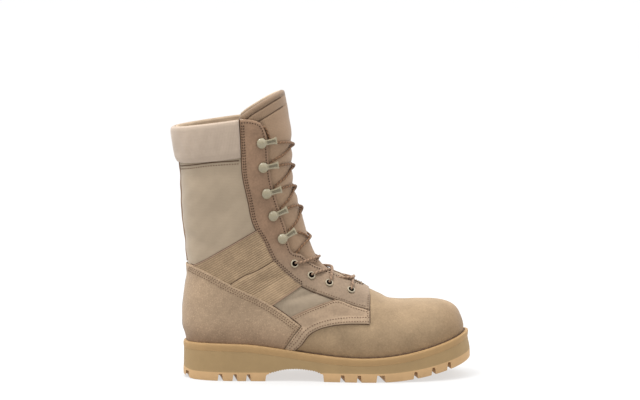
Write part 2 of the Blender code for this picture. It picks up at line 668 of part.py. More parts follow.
# Build
PARTS = collection("military_boot")
CUTTERS = collection("cutters")

SUEDE = material("suede", (0.42, 0.28, 0.15), 0.9)
RUBBER = material("rubber", (0.45, 0.28, 0.13), 0.7)
WELT = material("welt_rubber", (0.52, 0.38, 0.22), 0.7)
LINING = material("lining", (0.30, 0.23, 0.15), 0.95)
PADDED = material("padded_nylon", (0.40, 0.30, 0.18), 0.9)
NUBUCK = material("nubuck", (0.40, 0.27, 0.16), 0.85)
NYLON = material("nylon", (0.38, 0.29, 0.18), 0.9)
PAINTED = material("painted_metal", (0.45, 0.38, 0.25), 0.5)
CORD = material("lace_cord", (0.22, 0.14, 0.07), 0.9)

upper = upper_form("upper", -WALL, 0.0, SUEDE)
midsole = make_midsole(WELT)
outsole = make_outsole(RUBBER)
insole = make_insole(LINING)
tongue = make_tongue(PADDED)

make_overlay("heel_counter", COUNTER, (-PAST_SIDE, PAST_SIDE), SUEDE)
eyestays = []
for label, sides in SIDE_PLANES.items():
    eyestays.append(make_overlay(f"eyestay_{label}", EYESTAY, sides, NUBUCK))
    make_overlay(f"quarter_strap_{label}", STRAP, sides, NUBUCK)
make_cuff(NYLON)
holes = eyelet_cutter()
for holed in (upper, *eyestays):
    boolean(holed, holes, "DIFFERENCE")
make_eyelets(PAINTED)
make_hooks(PAINTED)
make_lace(CORD)
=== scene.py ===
"""Looks of the military boot: panels, padding, stitches, lacing and sole around the CAD frame.

Sizes are millimetres in the frame of the last, as in the part's source: x runs from the back of the sole to
the toe, z is up and y is positive on the medial side. Meshes are made in metres, in the frame of the part.
"""

import math

import bmesh
import bpy
import numpy as np
from mathutils import Matrix, Vector, kdtree
from mathutils.geometry import delaunay_2d_cdt


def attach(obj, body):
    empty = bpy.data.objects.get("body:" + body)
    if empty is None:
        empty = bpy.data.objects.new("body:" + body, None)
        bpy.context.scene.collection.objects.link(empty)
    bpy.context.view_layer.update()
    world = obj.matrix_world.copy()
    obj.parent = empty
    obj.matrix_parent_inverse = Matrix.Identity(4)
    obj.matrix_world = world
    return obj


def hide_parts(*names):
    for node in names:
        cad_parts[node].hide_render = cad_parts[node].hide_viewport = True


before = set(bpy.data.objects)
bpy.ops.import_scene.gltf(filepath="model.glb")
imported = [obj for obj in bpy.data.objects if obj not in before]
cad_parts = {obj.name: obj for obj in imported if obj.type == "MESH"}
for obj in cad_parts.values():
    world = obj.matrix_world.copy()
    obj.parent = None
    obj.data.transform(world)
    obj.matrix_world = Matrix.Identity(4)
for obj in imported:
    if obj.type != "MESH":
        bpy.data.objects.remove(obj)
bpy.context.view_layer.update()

# Sizes of the last and the sole, as in the part's source
SOLE_LENGTH = 304.0
CUFF_OVERHANG = 12.2
MIDDLE_X, MIDDLE_Y = (SOLE_LENGTH - CUFF_OVERHANG) / 2, 0.28
WALL = 2.4
GAP = 0.3
OVERLAY = 1.85
BACK_DEPTH = 58.0
HEEL_ROUND = 2.3
TUCK_HEIGHT = 20.0
SOLE_LIP = 4.4
MIDSOLE_THICK = 7.6
SIDES = ((-1, "lateral"), (1, "medial"))

# Sections of the last, from the toe to the top of the tongue
SECTION_COLUMNS = ("ridge_x", "ridge_z", "aim_x", "aim_z", "mid", "half", "shoulder", "round", "tuck", "open")
SECTIONS = {
    "toe_tip": (297.2, 53.0, 297.2, 48.4, 5.0, 0.0, 10.0, 2.2, 0.03, 0.0),
    "toe_front": (295.2, 60.5, 295.2, 47.2, 5.0, 12.5, 15.0, 2.2, 0.03, 0.0),
    "toe_curve": (290.0, 71.0, 290.0, 45.0, 4.9, 23.5, 22.0, 2.2, 0.03, 0.0),
    "toe_shoulder": (281.0, 77.3, 281.0, 41.8, 4.6, 32.8, 28.0, 2.25, 0.03, 0.0),
    "toe_box": (267.0, 80.3, 267.0, 37.6, 4.0, 40.2, 33.0, 2.3, 0.03, 0.0),
    "toe_break": (248.0, 80.8, 248.0, 32.4, 3.0, 45.8, 38.0, 2.25, 0.03, 0.0),
    "ball": (224.0, 81.4, 223.0, 27.4, 1.5, 49.0, 43.0, 2.15, 0.04, 0.0),
    "vamp": (199.5, 91.0, 196.0, 25.0, -0.5, 48.5, 48.0, 2.05, 0.05, -0.5),
    "throat": (179.0, 102.0, 168.0, 25.6, -2.0, 45.5, 54.0, 2.0, 0.08, 1.2),
    "instep": (161.0, 112.0, 138.0, 28.8, -2.8, 41.8, 58.0, 2.0, 0.11, 3.0),
    "waist": (147.5, 122.0, 105.0, 33.6, -2.4, 38.8, 60.0, 1.95, 0.11, 6.4),
    "heel_breast": (140.0, 133.0, 70.0, 38.0, -1.0, 37.2, 60.0, 1.9, 0.07, 12.0),
    "heel_seat": (136.0, 143.0, 38.0, 39.0, 0.0, 37.0, 60.0, 1.9, 0.05, 16.5),
    "heel_round": (133.4, 152.0, 16.0, 39.0, 0.0, 37.2, 60.0, 1.9, 0.05, 25.0),
    "heel_corner": (131.2, 161.0, 4.9, 40.5, 0.0, 37.4, 60.0, 1.9, 0.05, 26.5),
    "heel_back": (128.2, 172.0, 0.9, 64.0, 0.0, 37.4, 59.0, 1.9, 0.05, 24.5),
    "ankle": (123.6, 187.0, 3.6, 95.0, 0.0, 38.0, 58.0, 1.9, 0.05, 24.3),
    "ankle_top": (119.6, 203.0, 5.0, 127.0, 0.0, 40.0, 57.0, 1.9, 0.05, 25.0),
    "shaft_low": (117.8, 221.0, 1.6, 163.0, 0.0, 43.0, 56.0, 1.9, 0.05, 27.0),
    "shaft_mid": (116.8, 240.0, -1.2, 200.0, 0.0, 45.0, 56.0, 1.9, 0.05, 27.5),
    "shaft_top": (115.2, 260.0, -3.5, 232.0, 0.0, 46.0, 56.0, 1.9, 0.05, 26.8),
    "collar": (112.4, 280.5, -7.0, 264.5, 0.0, 46.5, 56.0, 1.9, 0.05, 30.5),
    "tongue_mid": (109.8, 292.5, -8.5, 287.0, 0.0, 46.0, 56.0, 1.9, 0.05, 32.0),
    "tongue_top": (107.0, 305.0, -10.0, 309.0, 0.0, 45.0, 56.0, 1.9, 0.05, 34.0),
}
ROW = {name: number for number, name in enumerate(SECTIONS)}
LAST_ROW = len(SECTIONS) - 1.0
THROAT_START = ROW["vamp"] + 0.3
ROW_STEP = 0.01
TINY = 1e-6
BISECTIONS, LONGEST_RAY = 30, 260.0
FEATHER = (
    (-5.0, 38.4), (40.0, 39.0), (70.0, 38.0), (105.0, 33.6), (138.0, 28.8), (168.0, 25.6),
    (197.0, 25.0), (224.0, 27.3), (248.0, 31.8), (267.0, 36.8), (281.0, 41.2), (306.0, 50.6),
)
BACK_LINE = (
    (30.0, 7.5), (43.0, 4.6), (52.0, 1.8), (64.0, 0.8), (80.0, 1.6), (95.0, 3.6), (112.0, 6.0),
    (125.0, 5.0), (150.0, 2.4), (175.0, 0.2), (200.0, -0.8), (214.0, -1.2), (235.0, -3.4),
    (264.0, -6.6), (310.0, -12.0),
)


# Shares, directions and lengths
def clamp(share):
    return np.clip(share, 0, 1)


def between(value, low, high):
    return clamp((value - low) / (high - low))


def bell(share):
    """1 at share 0, falling to nothing at about 2 on both sides."""
    return np.exp(-(share**2))


def unit(vectors):
    return vectors / np.linalg.norm(vectors, axis=-1, keepdims=True)


def lengths(points):
    """Length along a line up to each of its points."""
    return np.concatenate([[0], np.cumsum(np.linalg.norm(np.diff(points, axis=0), axis=1))])


def places_along(length, step):
    """Even places along a length, about a step apart."""
    return np.linspace(0, length, max(2, round(length / step)) + 1)


# The last's surface
def curve(table):
    """A function that reads a cubic curve through a table's (key, value) rows."""
    keys, values = np.array(table, float).T
    slopes = np.gradient(values, keys)

    def read(at):
        at = np.clip(np.asarray(at, float), keys[0], keys[-1])
        i = np.clip(np.searchsorted(keys, at) - 1, 0, len(keys) - 2)
        step = keys[i + 1] - keys[i]
        f = (at - keys[i]) / step
        rise = values[i + 1] - values[i]
        bend = slopes[i] * step * f * (1 - f) ** 2 - slopes[i + 1] * step * f**2 * (1 - f)
        return values[i] + rise * f**2 * (3 - 2 * f) + bend

    return read


feather = curve(FEATHER)
back_line = curve(BACK_LINE)


def padded_sections():
    """The rows of the section table, with one more at each end so that a curve runs smoothly through them."""
    rows = np.array(list(SECTIONS.values()), float)
    before = rows[1].copy()
    before[SECTION_COLUMNS.index("half")] *= -1
    return np.vstack([before, rows, 2 * rows[-1] - rows[-2]])


PADDED_SECTIONS = padded_sections()


def section(u):
    """The columns of the section table at row numbers u, on a smooth curve through the rows."""
    u = np.clip(np.asarray(u, float), 0, LAST_ROW)
    i = np.minimum(u.astype(int), len(SECTIONS) - 2)
    f = (u - i)[..., None]
    a, b, c, d = (PADDED_SECTIONS[i + k] for k in range(4))
    rows = b + 0.5 * f * ((c - a) + f * ((2 * a - 5 * b + 4 * c - d) + f * (3 * (b - c) + d - a)))
    return dict(zip(SECTION_COLUMNS, np.moveaxis(rows, -1, 0)))


def ray(u, offset):
    """Start point and direction of a section in the side view, its start moved out by offset."""
    here, ahead, behind = (section(np.asarray(u) + step) for step in (0, ROW_STEP, -ROW_STEP))
    along = unit(np.stack([ahead["ridge_x"] - behind["ridge_x"], ahead["ridge_z"] - behind["ridge_z"]], -1))
    ridge = np.stack([here["ridge_x"], here["ridge_z"]], -1)
    down = unit(np.stack([here["aim_x"], here["aim_z"]], -1) - ridge)
    outward = np.stack([along[..., 1], -along[..., 0]], -1)
    return ridge + outward * np.asarray(offset)[..., None], down


def quarter(share, power):
    """Height of a superellipse's quarter, 0 at share 0 and 1 from share 1 on."""
    left = 1 - clamp(share)
    return (1 - left**power) ** (1 / power)


def form(u, distance, side, offset=0.0):
    """Points of the last, grown by offset: sections u, distances down their rays, side -1 or 1."""
    start, down = ray(u, offset)
    x, z = np.moveaxis(start + down * np.asarray(distance)[..., None], -1, 0)
    here = section(u)
    top = quarter(distance / (here["shoulder"] + offset), here["round"])
    back = quarter((x - back_line(z) + offset) / (BACK_DEPTH + offset), HEEL_ROUND)
    height = clamp((z - feather(x)) / TUCK_HEIGHT)
    tuck = 1 - here["tuck"] * (1 - height) ** 2
    half = np.maximum(here["half"] + offset, 0) * top * back * tuck
    return np.stack([x, here["mid"] + side * half, z], -1)


def reach(u, offset=0.0):
    """How far each section runs down to the feather line, or back to the back line."""
    start, down = ray(u, offset)
    low, high = np.zeros(np.shape(u)), np.full(np.shape(u), LONGEST_RAY)
    for _ in range(BISECTIONS):
        half = (low + high) / 2
        x, z = np.moveaxis(start + down * half[..., None], -1, 0)
        inside = (z > feather(x) + GAP) & (x > back_line(z) - offset)
        low, high = np.where(inside, half, low), np.where(inside, high, half)
    return low


def locate(x, z):
    """The section and the distance down its ray that a point of the side view lies at."""
    low, high = np.zeros(np.shape(x)), np.full(np.shape(x), LAST_ROW)
    for _ in range(BISECTIONS):
        u = (low + high) / 2
        start, down = ray(u, 0.0)
        before = (x - start[..., 0]) * down[..., 1] - (z - start[..., 1]) * down[..., 0] > 0
        low, high = np.where(before, u, low), np.where(before, high, u)
    start, down = ray(low, 0.0)
    return low, (x - start[..., 0]) * down[..., 0] + (z - start[..., 1]) * down[..., 1]


# The chart of the surface: section number u, and share t of the way round from the ridge to the sole or back
def turn_share(u, distance):
    return np.arccos(1 - 2 * clamp(distance / reach(u))) / np.pi


def chart(places):
    """Chart points (u, t) of places (x, z) in the side view."""
    x, z = np.asarray(places, float).T
    u, distance = locate(x, z)
    return np.column_stack([u, turn_share(u, distance)])


def throat_share(u):
    """Share at which the upper's edge along the throat lies."""
    return turn_share(u, np.maximum(section(u)["open"], 0))


def skin(u, t, side):
    return form(u, reach(u) * (1 - np.cos(np.pi * t)) / 2, side)


def outward(u, t, side):
    """Unit normals of the surface. On the ridge and the back seam they have no sideways part."""
    step_u, step_t = 0.02, 0.004
    inner = np.clip(t, step_t, 1 - step_t)
    along = skin(np.minimum(u + step_u, LAST_ROW), inner, side) - skin(np.maximum(u - step_u, 0), inner, side)
    around = skin(u, inner + step_t, side) - skin(u, inner - step_t, side)
    way = np.cross(around, along) * side
    seam = (t < TINY) | ((t > 1 - TINY) & (u >= ROW["heel_corner"] - TINY))
    way[seam, 1] = 0
    return unit(way)


# Creases pressed into the upper: side, start x and z, end x and z, half width and depth (a ridge is negative)
CREASES = (
    (-1, 10.0, 212.0, 52.0, 221.0, 7.0, 0.9), (-1, 8.0, 222.0, 40.0, 226.0, 4.0, -0.6),
    (-1, 6.0, 150.0, 34.0, 139.0, 8.0, 1.1), (-1, 30.0, 172.0, 60.0, 190.0, 10.0, 0.8),
    (-1, 116.0, 86.4, 142.0, 94.0, 2.2, 1.3), (-1, 112.0, 80.0, 146.0, 84.0, 3.5, -0.7),
    (-1, 81.0, 103.0, 101.0, 111.0, 3.0, 0.8), (-1, 152.0, 72.0, 186.0, 69.0, 4.0, 0.7),
    (-1, 200.0, 62.0, 214.0, 84.0, 7.0, 1.3), (-1, 212.0, 52.0, 232.0, 74.0, 8.0, 0.8),
    (1, 12.0, 205.0, 56.0, 216.0, 8.0, 1.0), (1, 8.0, 148.0, 40.0, 140.0, 8.0, 1.2),
    (1, 200.0, 58.0, 216.0, 82.0, 7.0, 1.3), (1, 120.0, 84.0, 150.0, 88.0, 4.0, 1.0),
    (1, 34.0, 168.0, 60.0, 186.0, 10.0, 0.9),
)
WAVE_HEIGHT, WAVE_END, WAVE_FADE = 0.22, 235.0, 40.0


def crease(points, side):
    """How far the creases and the slight waves of one side lift or sink points."""
    x, _, z = points.T
    waves = np.sin(0.19 * x + 0.11 * z + side) * np.sin(0.15 * z - 0.06 * x)
    waves += 0.6 * np.sin(0.41 * x - 0.33 * z)
    total = WAVE_HEIGHT * waves * clamp((WAVE_END - x) / WAVE_FADE)
    for at_side, *ends, width, depth in CREASES:
        if at_side == side:
            start, end = np.reshape(ends, (2, 2))
            way, from_start = end - start, points[:, [0, 2]] - start
            share = clamp(from_start @ way / (way @ way))
            off = np.linalg.norm(from_start - share[:, None] * way, axis=1)
            total -= depth * bell(off / width)
    return total


def lift(u, t, side, height):
    """Points at a height over the creased surface."""
    points = skin(u, t, side)
    return points + outward(u, t, side) * (crease(points, side) + height)[:, None]


# Lines on the surface
EDGE_STEP, FINER = 1.2, 12


def spline(points, step=3.0):
    """Points every step along a smooth curve through a list of points."""
    points = np.asarray(points, float)
    length = lengths(points)
    at = places_along(length[-1], step)
    return np.stack([curve(np.column_stack([length, column]))(at) for column in points.T], -1)


def beside(line, distance):
    """A line of the side view moved to its left."""
    along = unit(np.gradient(line, axis=0))
    return line + np.column_stack([-along[:, 1], along[:, 0]]) * distance


def even(line_chart, side, step):
    """A chart line with points every step along its length on the surface."""
    share, finer = (np.linspace(0, 1, many * len(line_chart)) for many in (1, FINER))
    fine = np.column_stack([np.interp(finer, share, c) for c in line_chart.T])
    length = lengths(skin(*fine.T, side))
    at = places_along(length[-1], step)
    return np.column_stack([np.interp(at, length, c) for c in fine.T])


def edge_line(places, side, step=EDGE_STEP):
    """A chart line along a smooth curve through places (x, z) in the side view."""
    return even(chart(spline(places)), side, step)


# Meshes
def metres(points):
    return (np.asarray(points, float).reshape(-1, 3) - (MIDDLE_X, MIDDLE_Y, 0)) / 1000


def new_mesh(name, points, faces, finishes=(), zones=None):
    """A mesh of points in metres. Zones are the numbers of the faces' finishes."""
    mesh = bpy.data.meshes.new(name)
    mesh.from_pydata(np.asarray(points, float).tolist(), [], [tuple(f) for f in faces])
    for finish in finishes:
        mesh.materials.append(finish)
    if zones is not None:
        mesh.polygons.foreach_set("material_index", np.asarray(zones, np.int32))
    return mesh


def linked(name, data):
    """A new object in the scene."""
    obj = bpy.data.objects.new(name, data)
    bpy.context.scene.collection.objects.link(obj)
    return obj


def smooth(mesh, angle=None):
    """Smooth shading, with sharp edges where faces meet at more than an angle."""
    mesh.shade_smooth()
    if angle:
        mesh.set_sharp_from_angle(angle=math.radians(angle))


def piece(name, points, faces, finishes, slot, replaces=(), zones=None, smooth_angle=None, shade=1.0):
    """A mesh piece that rides on the boot. Shade is how light each point is within its finish."""
    mesh = new_mesh(name, metres(points), faces, finishes, zones)
    shades = np.broadcast_to(np.asarray(shade, np.float32), len(mesh.vertices))
    mesh.attributes.new("shade", "FLOAT", "POINT").data.foreach_set("value", np.ascontiguousarray(shades))
    smooth(mesh, smooth_angle)
    mesh.validate()
    mesh.update()
    obj = linked(name, mesh)
    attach(obj, "root")
    if replaces:
        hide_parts(*replaces)
    return obj


SOLE_SHADE_HEIGHT, SOLE_SHADE_POWER = 28.0, 0.7


def above_sole(points):
    """Shade that falls towards the feather line."""
    return clamp((points[:, 2] - feather(points[:, 0])) / SOLE_SHADE_HEIGHT) ** SOLE_SHADE_POWER


def clean(mesh, weld=0.0):
    """Drop loose points, join points closer than weld and turn the faces of closed shapes outward."""
    work = bmesh.new()
    work.from_mesh(mesh)
    bmesh.ops.delete(work, geom=[v for v in work.verts if not v.link_faces], context="VERTS")
    bmesh.ops.remove_doubles(work, verts=work.verts, dist=weld)
    bmesh.ops.recalc_face_normals(work, faces=work.faces)
    work.to_mesh(mesh)
    work.free()


def inside(points, loop):
    """Which points of a plane lie in a closed loop."""
    odd = np.zeros(len(points), bool)
    x, y = points.T
    for (ax, ay), (bx, by) in zip(loop, np.roll(loop, -1, 0)):
        if ay != by:
            crosses = (ay > y) != (by > y)
            odd ^= crosses & (x < (bx - ax) * (y - ay) / (by - ay) + ax)
    return odd


def nearest(points, line):
    """Distance of each point to a line of closely spaced points."""
    tree = kdtree.KDTree(len(line))
    for n, p in enumerate(line):
        tree.insert(p, n)
    tree.balance()
    return np.array([tree.find(p)[2] for p in points])


CHART_SCALE = np.array([12.0, 110.0])
EDGE_RINGS = (0.15, 0.45, 1.0)
RIM_STEP, RING_CLEAR, EDGE_SINK = 0.5, 0.6, 0.3


def step_left(line, side):
    """Chart step of one millimetre on the surface, to the left of a chart line."""
    step = 1e-3
    u, t = line.T
    back = np.where(t > 1 - 2 * step, -step, step)
    base = skin(u, t, side)
    low = np.minimum(u, LAST_ROW - step)
    du = (skin(low + step, t, side) - skin(low, t, side)) / step
    dt = (skin(u, t + back, side) - base) / back[:, None]
    way = np.cross(outward(u, t, side), np.gradient(base, axis=0))
    way *= -side / np.linalg.norm(way, axis=1, keepdims=True)
    a, b, c = (du * du).sum(1), (du * dt).sum(1), (dt * dt).sum(1)
    p, q = (du * way).sum(1), (dt * way).sum(1)
    return np.column_stack([p * c - q * b, a * q - b * p]) / (a * c - b * b)[:, None]


def inset(line, side, distance):
    return line + step_left(line, side) * distance


def sheet(loop, rims, side, thick, filling, holes=(), relief=None):
    """Points and triangles of a panel on the upper: a closed chart loop filled with chart points.

    Its edges along rims roll down onto the surface within a millimetre, and relief adds a height at points.
    """

    def on_panel(flat):
        within = inside(flat, loop * CHART_SCALE)
        for hole in holes:
            within &= ~inside(flat, hole * CHART_SCALE)
        return within

    rim_points = np.vstack([skin(*even(rim, side, RIM_STEP).T, side) for rim in rims])
    rings = []
    for rim in rims:
        line = even(rim, side, EDGE_STEP)
        step = step_left(line, side)
        rings += [line + step * ring * turn for ring in EDGE_RINGS for turn in (-1, 1)]
    candidates = np.vstack([*rings, filling])
    candidates = candidates[(candidates[:, 1] >= 0) & (candidates[:, 1] <= 1)]
    candidates = candidates[on_panel(candidates * CHART_SCALE)]
    near = nearest(skin(*candidates.T, side), rim_points)
    candidates = candidates[near > RING_CLEAR * EDGE_RINGS[0]]
    edges, first = [], 0
    for ring in (loop, *holes):
        edges += [(first + i, first + (i + 1) % len(ring)) for i in range(len(ring))]
        first += len(ring)
    flat = [Vector(p) for p in np.vstack([loop, *holes, candidates]) * CHART_SCALE]
    made, _, triangles, *_ = delaunay_2d_cdt(flat, edges, [], 0, TINY)
    made = np.array([tuple(p) for p in made])
    triangles = np.array([tuple(f) for f in triangles])
    triangles = triangles[on_panel(made[triangles].mean(1))]
    u, t = (made / CHART_SCALE).T
    u, t = np.clip(u, 0, LAST_ROW), clamp(t)
    base = skin(u, t, side)
    share = clamp(nearest(base, rim_points))
    height = (thick + EDGE_SINK) * quarter(share, 2) - EDGE_SINK
    if relief is not None:
        height = height + relief(base) * share
    points = lift(u, t, side, height)
    corner = points[triangles]
    normal = np.cross(corner[:, 1] - corner[:, 0], corner[:, 2] - corner[:, 0])
    flip = (normal * outward(u, t, side)[triangles[:, 0]]).sum(1) < 0
    triangles[flip] = triangles[flip][:, ::-1]
    return points, triangles


def lattice(loop, spacing):
    """Chart points at about the given spacing, over the box of a loop."""
    low, high = loop.min(0), loop.max(0)
    counts = np.maximum(2, ((high - low) * CHART_SCALE / spacing).astype(int))
    u, t = np.meshgrid(np.linspace(low[0], high[0], counts[0]), np.linspace(low[1], high[1], counts[1]))
    t = t + (np.arange(counts[0]) % 2) * 0.5 * (high[1] - low[1]) / counts[1]
    return np.column_stack([u.ravel(), t.ravel()])


def shell_faces(shape, turned_over=False):
    """Faces of two skins over one grid of points, the second behind the first, and of the rims."""
    index = np.arange(shape[0] * shape[1]).reshape(shape)
    corners = [index[:-1, :-1], index[:-1, 1:], index[1:, 1:], index[1:, :-1]]
    quads = np.stack(corners[::-1] if turned_over else corners, -1).reshape(-1, 4)
    edges = {(f[k - 1], f[k]) for f in quads.tolist() for k in range(4)}
    rims = [(b, a, a + index.size, b + index.size) for a, b in edges if (b, a) not in edges]
    return [*quads.tolist(), *(quads[:, ::-1] + index.size).tolist()], rims


def wall_faces(count, sides, first=0):
    """Faces between rings of points that follow each other."""
    faces = []
    for low in range(first, first + (count - 1) * sides, sides):
        for i in range(sides):
            here, there = low + i, low + (i + 1) % sides
            faces.append((here, there, there + sides, here + sides))
    return faces


def cap_faces(count, sides, first=0):
    """The first and the last of such rings as faces."""
    last = first + (count - 1) * sides
    return [tuple(range(first + sides - 1, first - 1, -1)), tuple(range(last, last + sides))]


def joined(parts):
    """Points and faces of several meshes as one."""
    points, faces, first = [], [], 0
    for p, f in parts:
        points.append(p)
        faces += [tuple(int(i) + first for i in face) for face in f]
        first += len(p)
    return np.vstack(points), faces


# Materials
RIB_PITCH, BRAID_PITCH = 2.2, 2.2
# Blender's wave texture turns by this many radians in one unit
WAVE_RADIANS = 20


class Finish:
    """A material with its Principled shader, and short ways to add nodes to it."""

    def __init__(self, name, roughness, sheen=0.0, specular=0.3):
        self.material = bpy.data.materials.new(name)
        self.material.use_nodes = True
        self.tree = self.material.node_tree
        self.shader = self.tree.nodes["Principled BSDF"]
        self.set(self.shader, {"Roughness": roughness, "Sheen Weight": sheen, "Specular IOR Level": specular})

    def set(self, node, inputs):
        """Set a node's inputs to numbers, colours or other nodes' outputs."""
        for key, value in inputs.items():
            if isinstance(value, bpy.types.NodeSocket):
                self.tree.links.new(value, node.inputs[key])
            else:
                node.inputs[key].default_value = (*value, 1.0) if isinstance(value, tuple) else value

    def add(self, kind, inputs, **settings):
        """Outputs of a new node."""
        node = self.tree.nodes.new("ShaderNode" + kind)
        for key, value in settings.items():
            setattr(node, key, value)
        self.set(node, inputs)
        return node.outputs

    def noise(self, scale, detail=3.0, rough=0.6, low=0.0, high=1.0):
        """Noise over the object, scale waves to the metre, stretched so that low becomes 0 and high 1."""
        place = self.add("TexCoord", {})["Object"]
        inputs = {"Vector": place, "Scale": scale, "Detail": detail, "Roughness": rough}
        value = self.add("TexNoise", inputs)["Fac"]
        return self.add("MapRange", {"Value": value, "From Min": low, "From Max": high})["Result"]

    def bands(self, direction, pitch, distortion=0.0):
        """Waves along one way of the cloth map, 0 on their crests and 1 between them."""
        cloth = self.add("UVMap", {}, uv_map="cloth")["UV"]
        inputs = {"Vector": cloth, "Scale": 2 * math.pi / pitch / WAVE_RADIANS, "Distortion": distortion}
        return self.add("TexWave", inputs, bands_direction=direction)["Fac"]

    def shade(self, low, high):
        """Colour from low to high by the mesh's own shade."""
        factor = self.add("Attribute", {}, attribute_name="shade")["Fac"]
        return self.add("Mix", {"Factor": factor, "A": low, "B": high}, data_type="RGBA")["Result"]

    def scaled(self, colour, value, low, high):
        """A colour times low where a value is 0, to high where it is 1."""
        amount = self.add("MapRange", {"Value": value, "To Min": low, "To Max": high})["Result"]
        return self.add("HueSaturation", {"Color": colour, "Value": amount})["Color"]

    def done(self, colour, bumps):
        """The material with its colour, and with bumps of (height, strength, distance in mm)."""
        inputs = {}
        for height, strength, distance in bumps:
            inputs |= {"Height": height, "Strength": strength, "Distance": distance / 1000}
            inputs["Normal"] = self.add("Bump", inputs)["Normal"]
        self.set(self.shader, {"Base Color": colour, "Normal": inputs["Normal"]})
        return self.material


def darker(colour, share):
    return tuple(c * share for c in colour)


def suede(name, colour, low, flecks):
    """Brushed leather: blotches, a fine nap with light flecks, and the low colour where the mesh's shade is
    low: painted shade.
    """
    made = Finish(name, 0.95, sheen=0.15, specular=0.1)
    body = made.shade(low, colour)
    body = made.scaled(body, made.noise(36.0, 6.0, low=0.33, high=0.68), 0.86, 1.09)
    body = made.scaled(body, made.noise(450.0, 2.0, low=0.38, high=0.64), 0.94, 1.05)
    body = made.scaled(body, made.noise(1000.0, 1.0, 0.5, 0.58, 0.7), 1.0, 1.0 + flecks)
    return made.done(body, [(made.noise(900.0, 3.0, 0.7), 0.45, 0.45), (made.noise(380.0), 0.3, 0.6)])


def nubuck(name, colour, low):
    """Smoother leather, with the low colour where the mesh's shade is low: painted light when that colour is
    lighter, painted shade when it is darker.
    """
    made = Finish(name, 0.7, sheen=0.1, specular=0.25)
    body = made.scaled(made.shade(low, colour), made.noise(45.0, 4.0, low=0.35, high=0.68), 0.88, 1.1)
    body = made.scaled(body, made.noise(500.0, low=0.35, high=0.65), 0.9, 1.06)
    return made.done(body, [(made.noise(900.0, 4.0), 0.3, 0.3), (made.noise(120.0), 0.35, 1.2)])


def woven(name, colour, thread=0.9):
    """Plain-woven nylon, its threads along the cloth's own map in millimetres."""
    made = Finish(name, 0.8, sheen=0.2, specular=0.2)
    waves = {number: made.bands(direction, thread, 0.6) for number, direction in enumerate("XY")}
    over = made.add("Math", waves, operation="MULTIPLY")["Value"]
    # Darker where the mesh's shade is low: painted shade, and on the tongue also its darker rim and the band
    # between its seams
    body = made.scaled(made.shade(darker(colour, 0.42), colour), over, 0.9, 1.06)
    body = made.scaled(body, made.bands("Y", 3.1, 6.0), 0.99, 1.01)
    body = made.scaled(body, made.noise(30.0, 4.0, low=0.35, high=0.68), 0.93, 1.05)
    return made.done(body, [(over, 0.3, 0.3), (made.noise(90.0), 0.2, 1.2)])


def ribbed(name, colour):
    """Ribbed cloth, darker in the furrows between its ribs: painted shade."""
    made = Finish(name, 0.9, sheen=0.1, specular=0.15)
    body = made.scaled(colour, made.bands("Y", RIB_PITCH), 1.08, 0.74)
    body = made.scaled(body, made.noise(60.0, 4.0, low=0.35, high=0.68), 0.9, 1.1)
    body = made.scaled(body, made.noise(420.0, low=0.35, high=0.65), 0.9, 1.08)
    return made.done(body, [(made.noise(800.0), 0.3, 0.3)])


def braided(name, colour, low):
    """Round braided cord, its strands crossing along the cord's own map."""
    made = Finish(name, 0.85, sheen=0.1, specular=0.2)
    weave = made.bands("DIAGONAL", BRAID_PITCH)
    body = made.scaled(made.shade(low, colour), weave, 1.25, 0.65)
    return made.done(body, [(weave, 0.5, 0.4), (made.noise(1500.0), 0.4, 0.2)])


def plain(name, colour, roughness, bump_scale=400.0, bump=0.15, specular=0.3, vary=0.1):
    """A moulded, painted or corded finish with a slight mottle."""
    made = Finish(name, roughness, specular=specular)
    body = made.scaled(colour, made.noise(60.0, 4.0, low=0.3, high=0.7), 1 - vary, 1 + vary)
    return made.done(body, [(made.noise(bump_scale), bump, 0.3)])


PAINTED = (900.0, 0.05, 0.5, 0.05)
# The leathers' second colours are painted: shade towards the sole and toe and above the strap's band, light
# at the eyestay's low end
SUEDE = suede("suede_vamp", (0.345, 0.245, 0.149), (0.318, 0.212, 0.12), 0.16)
COUNTER_SUEDE = suede("suede_counter", (0.372, 0.265, 0.174), (0.25, 0.158, 0.097), 0.35)
NUBUCK = nubuck("nubuck_eyestay", (0.282, 0.175, 0.109), (0.285, 0.204, 0.138))
STRAP_NUBUCK = nubuck("nubuck_strap", (0.44, 0.315, 0.21), (0.36, 0.252, 0.165))
NYLON = woven("nylon_shaft", (0.415, 0.325, 0.23))
CUFF_NYLON = woven("nylon_cuff", (0.482, 0.381, 0.296))
TONGUE_NYLON = woven("nylon_tongue", (0.355, 0.235, 0.148), 1.1)
RIBBED = ribbed("ribbed_cloth", (0.385, 0.27, 0.166))
LINING = plain("lining_cloth", (0.52, 0.40, 0.285), 0.95)
DARK_THREAD = plain("dark_thread", (0.07, 0.04, 0.024), 0.8)
THREAD = plain("thread", (0.165, 0.1, 0.06), 0.8)
# Dark cut edges of the panels with painted shadow at their feet, and painted shadow in gaps, folds, seams and
# under the cuff
DARK_EDGE_AND_SHADOW = plain("dark_edge_and_painted_shadow", (0.12, 0.073, 0.045), 0.9)
PIPING = plain("piping", (0.30, 0.2, 0.13), 0.7)
PAINT = plain("hook_paint", (0.33, 0.285, 0.19), 0.3, *PAINTED)
# Darker paint on the hooks' rims and deep in their arms' grooves: painted shade
HOOK_PAINTED_SHADE = plain("hook_painted_shade", (0.21, 0.175, 0.112), 0.5, *PAINTED)
EYELET_PAINT = plain("eyelet_paint", (0.40, 0.335, 0.235), 0.4, *PAINTED)
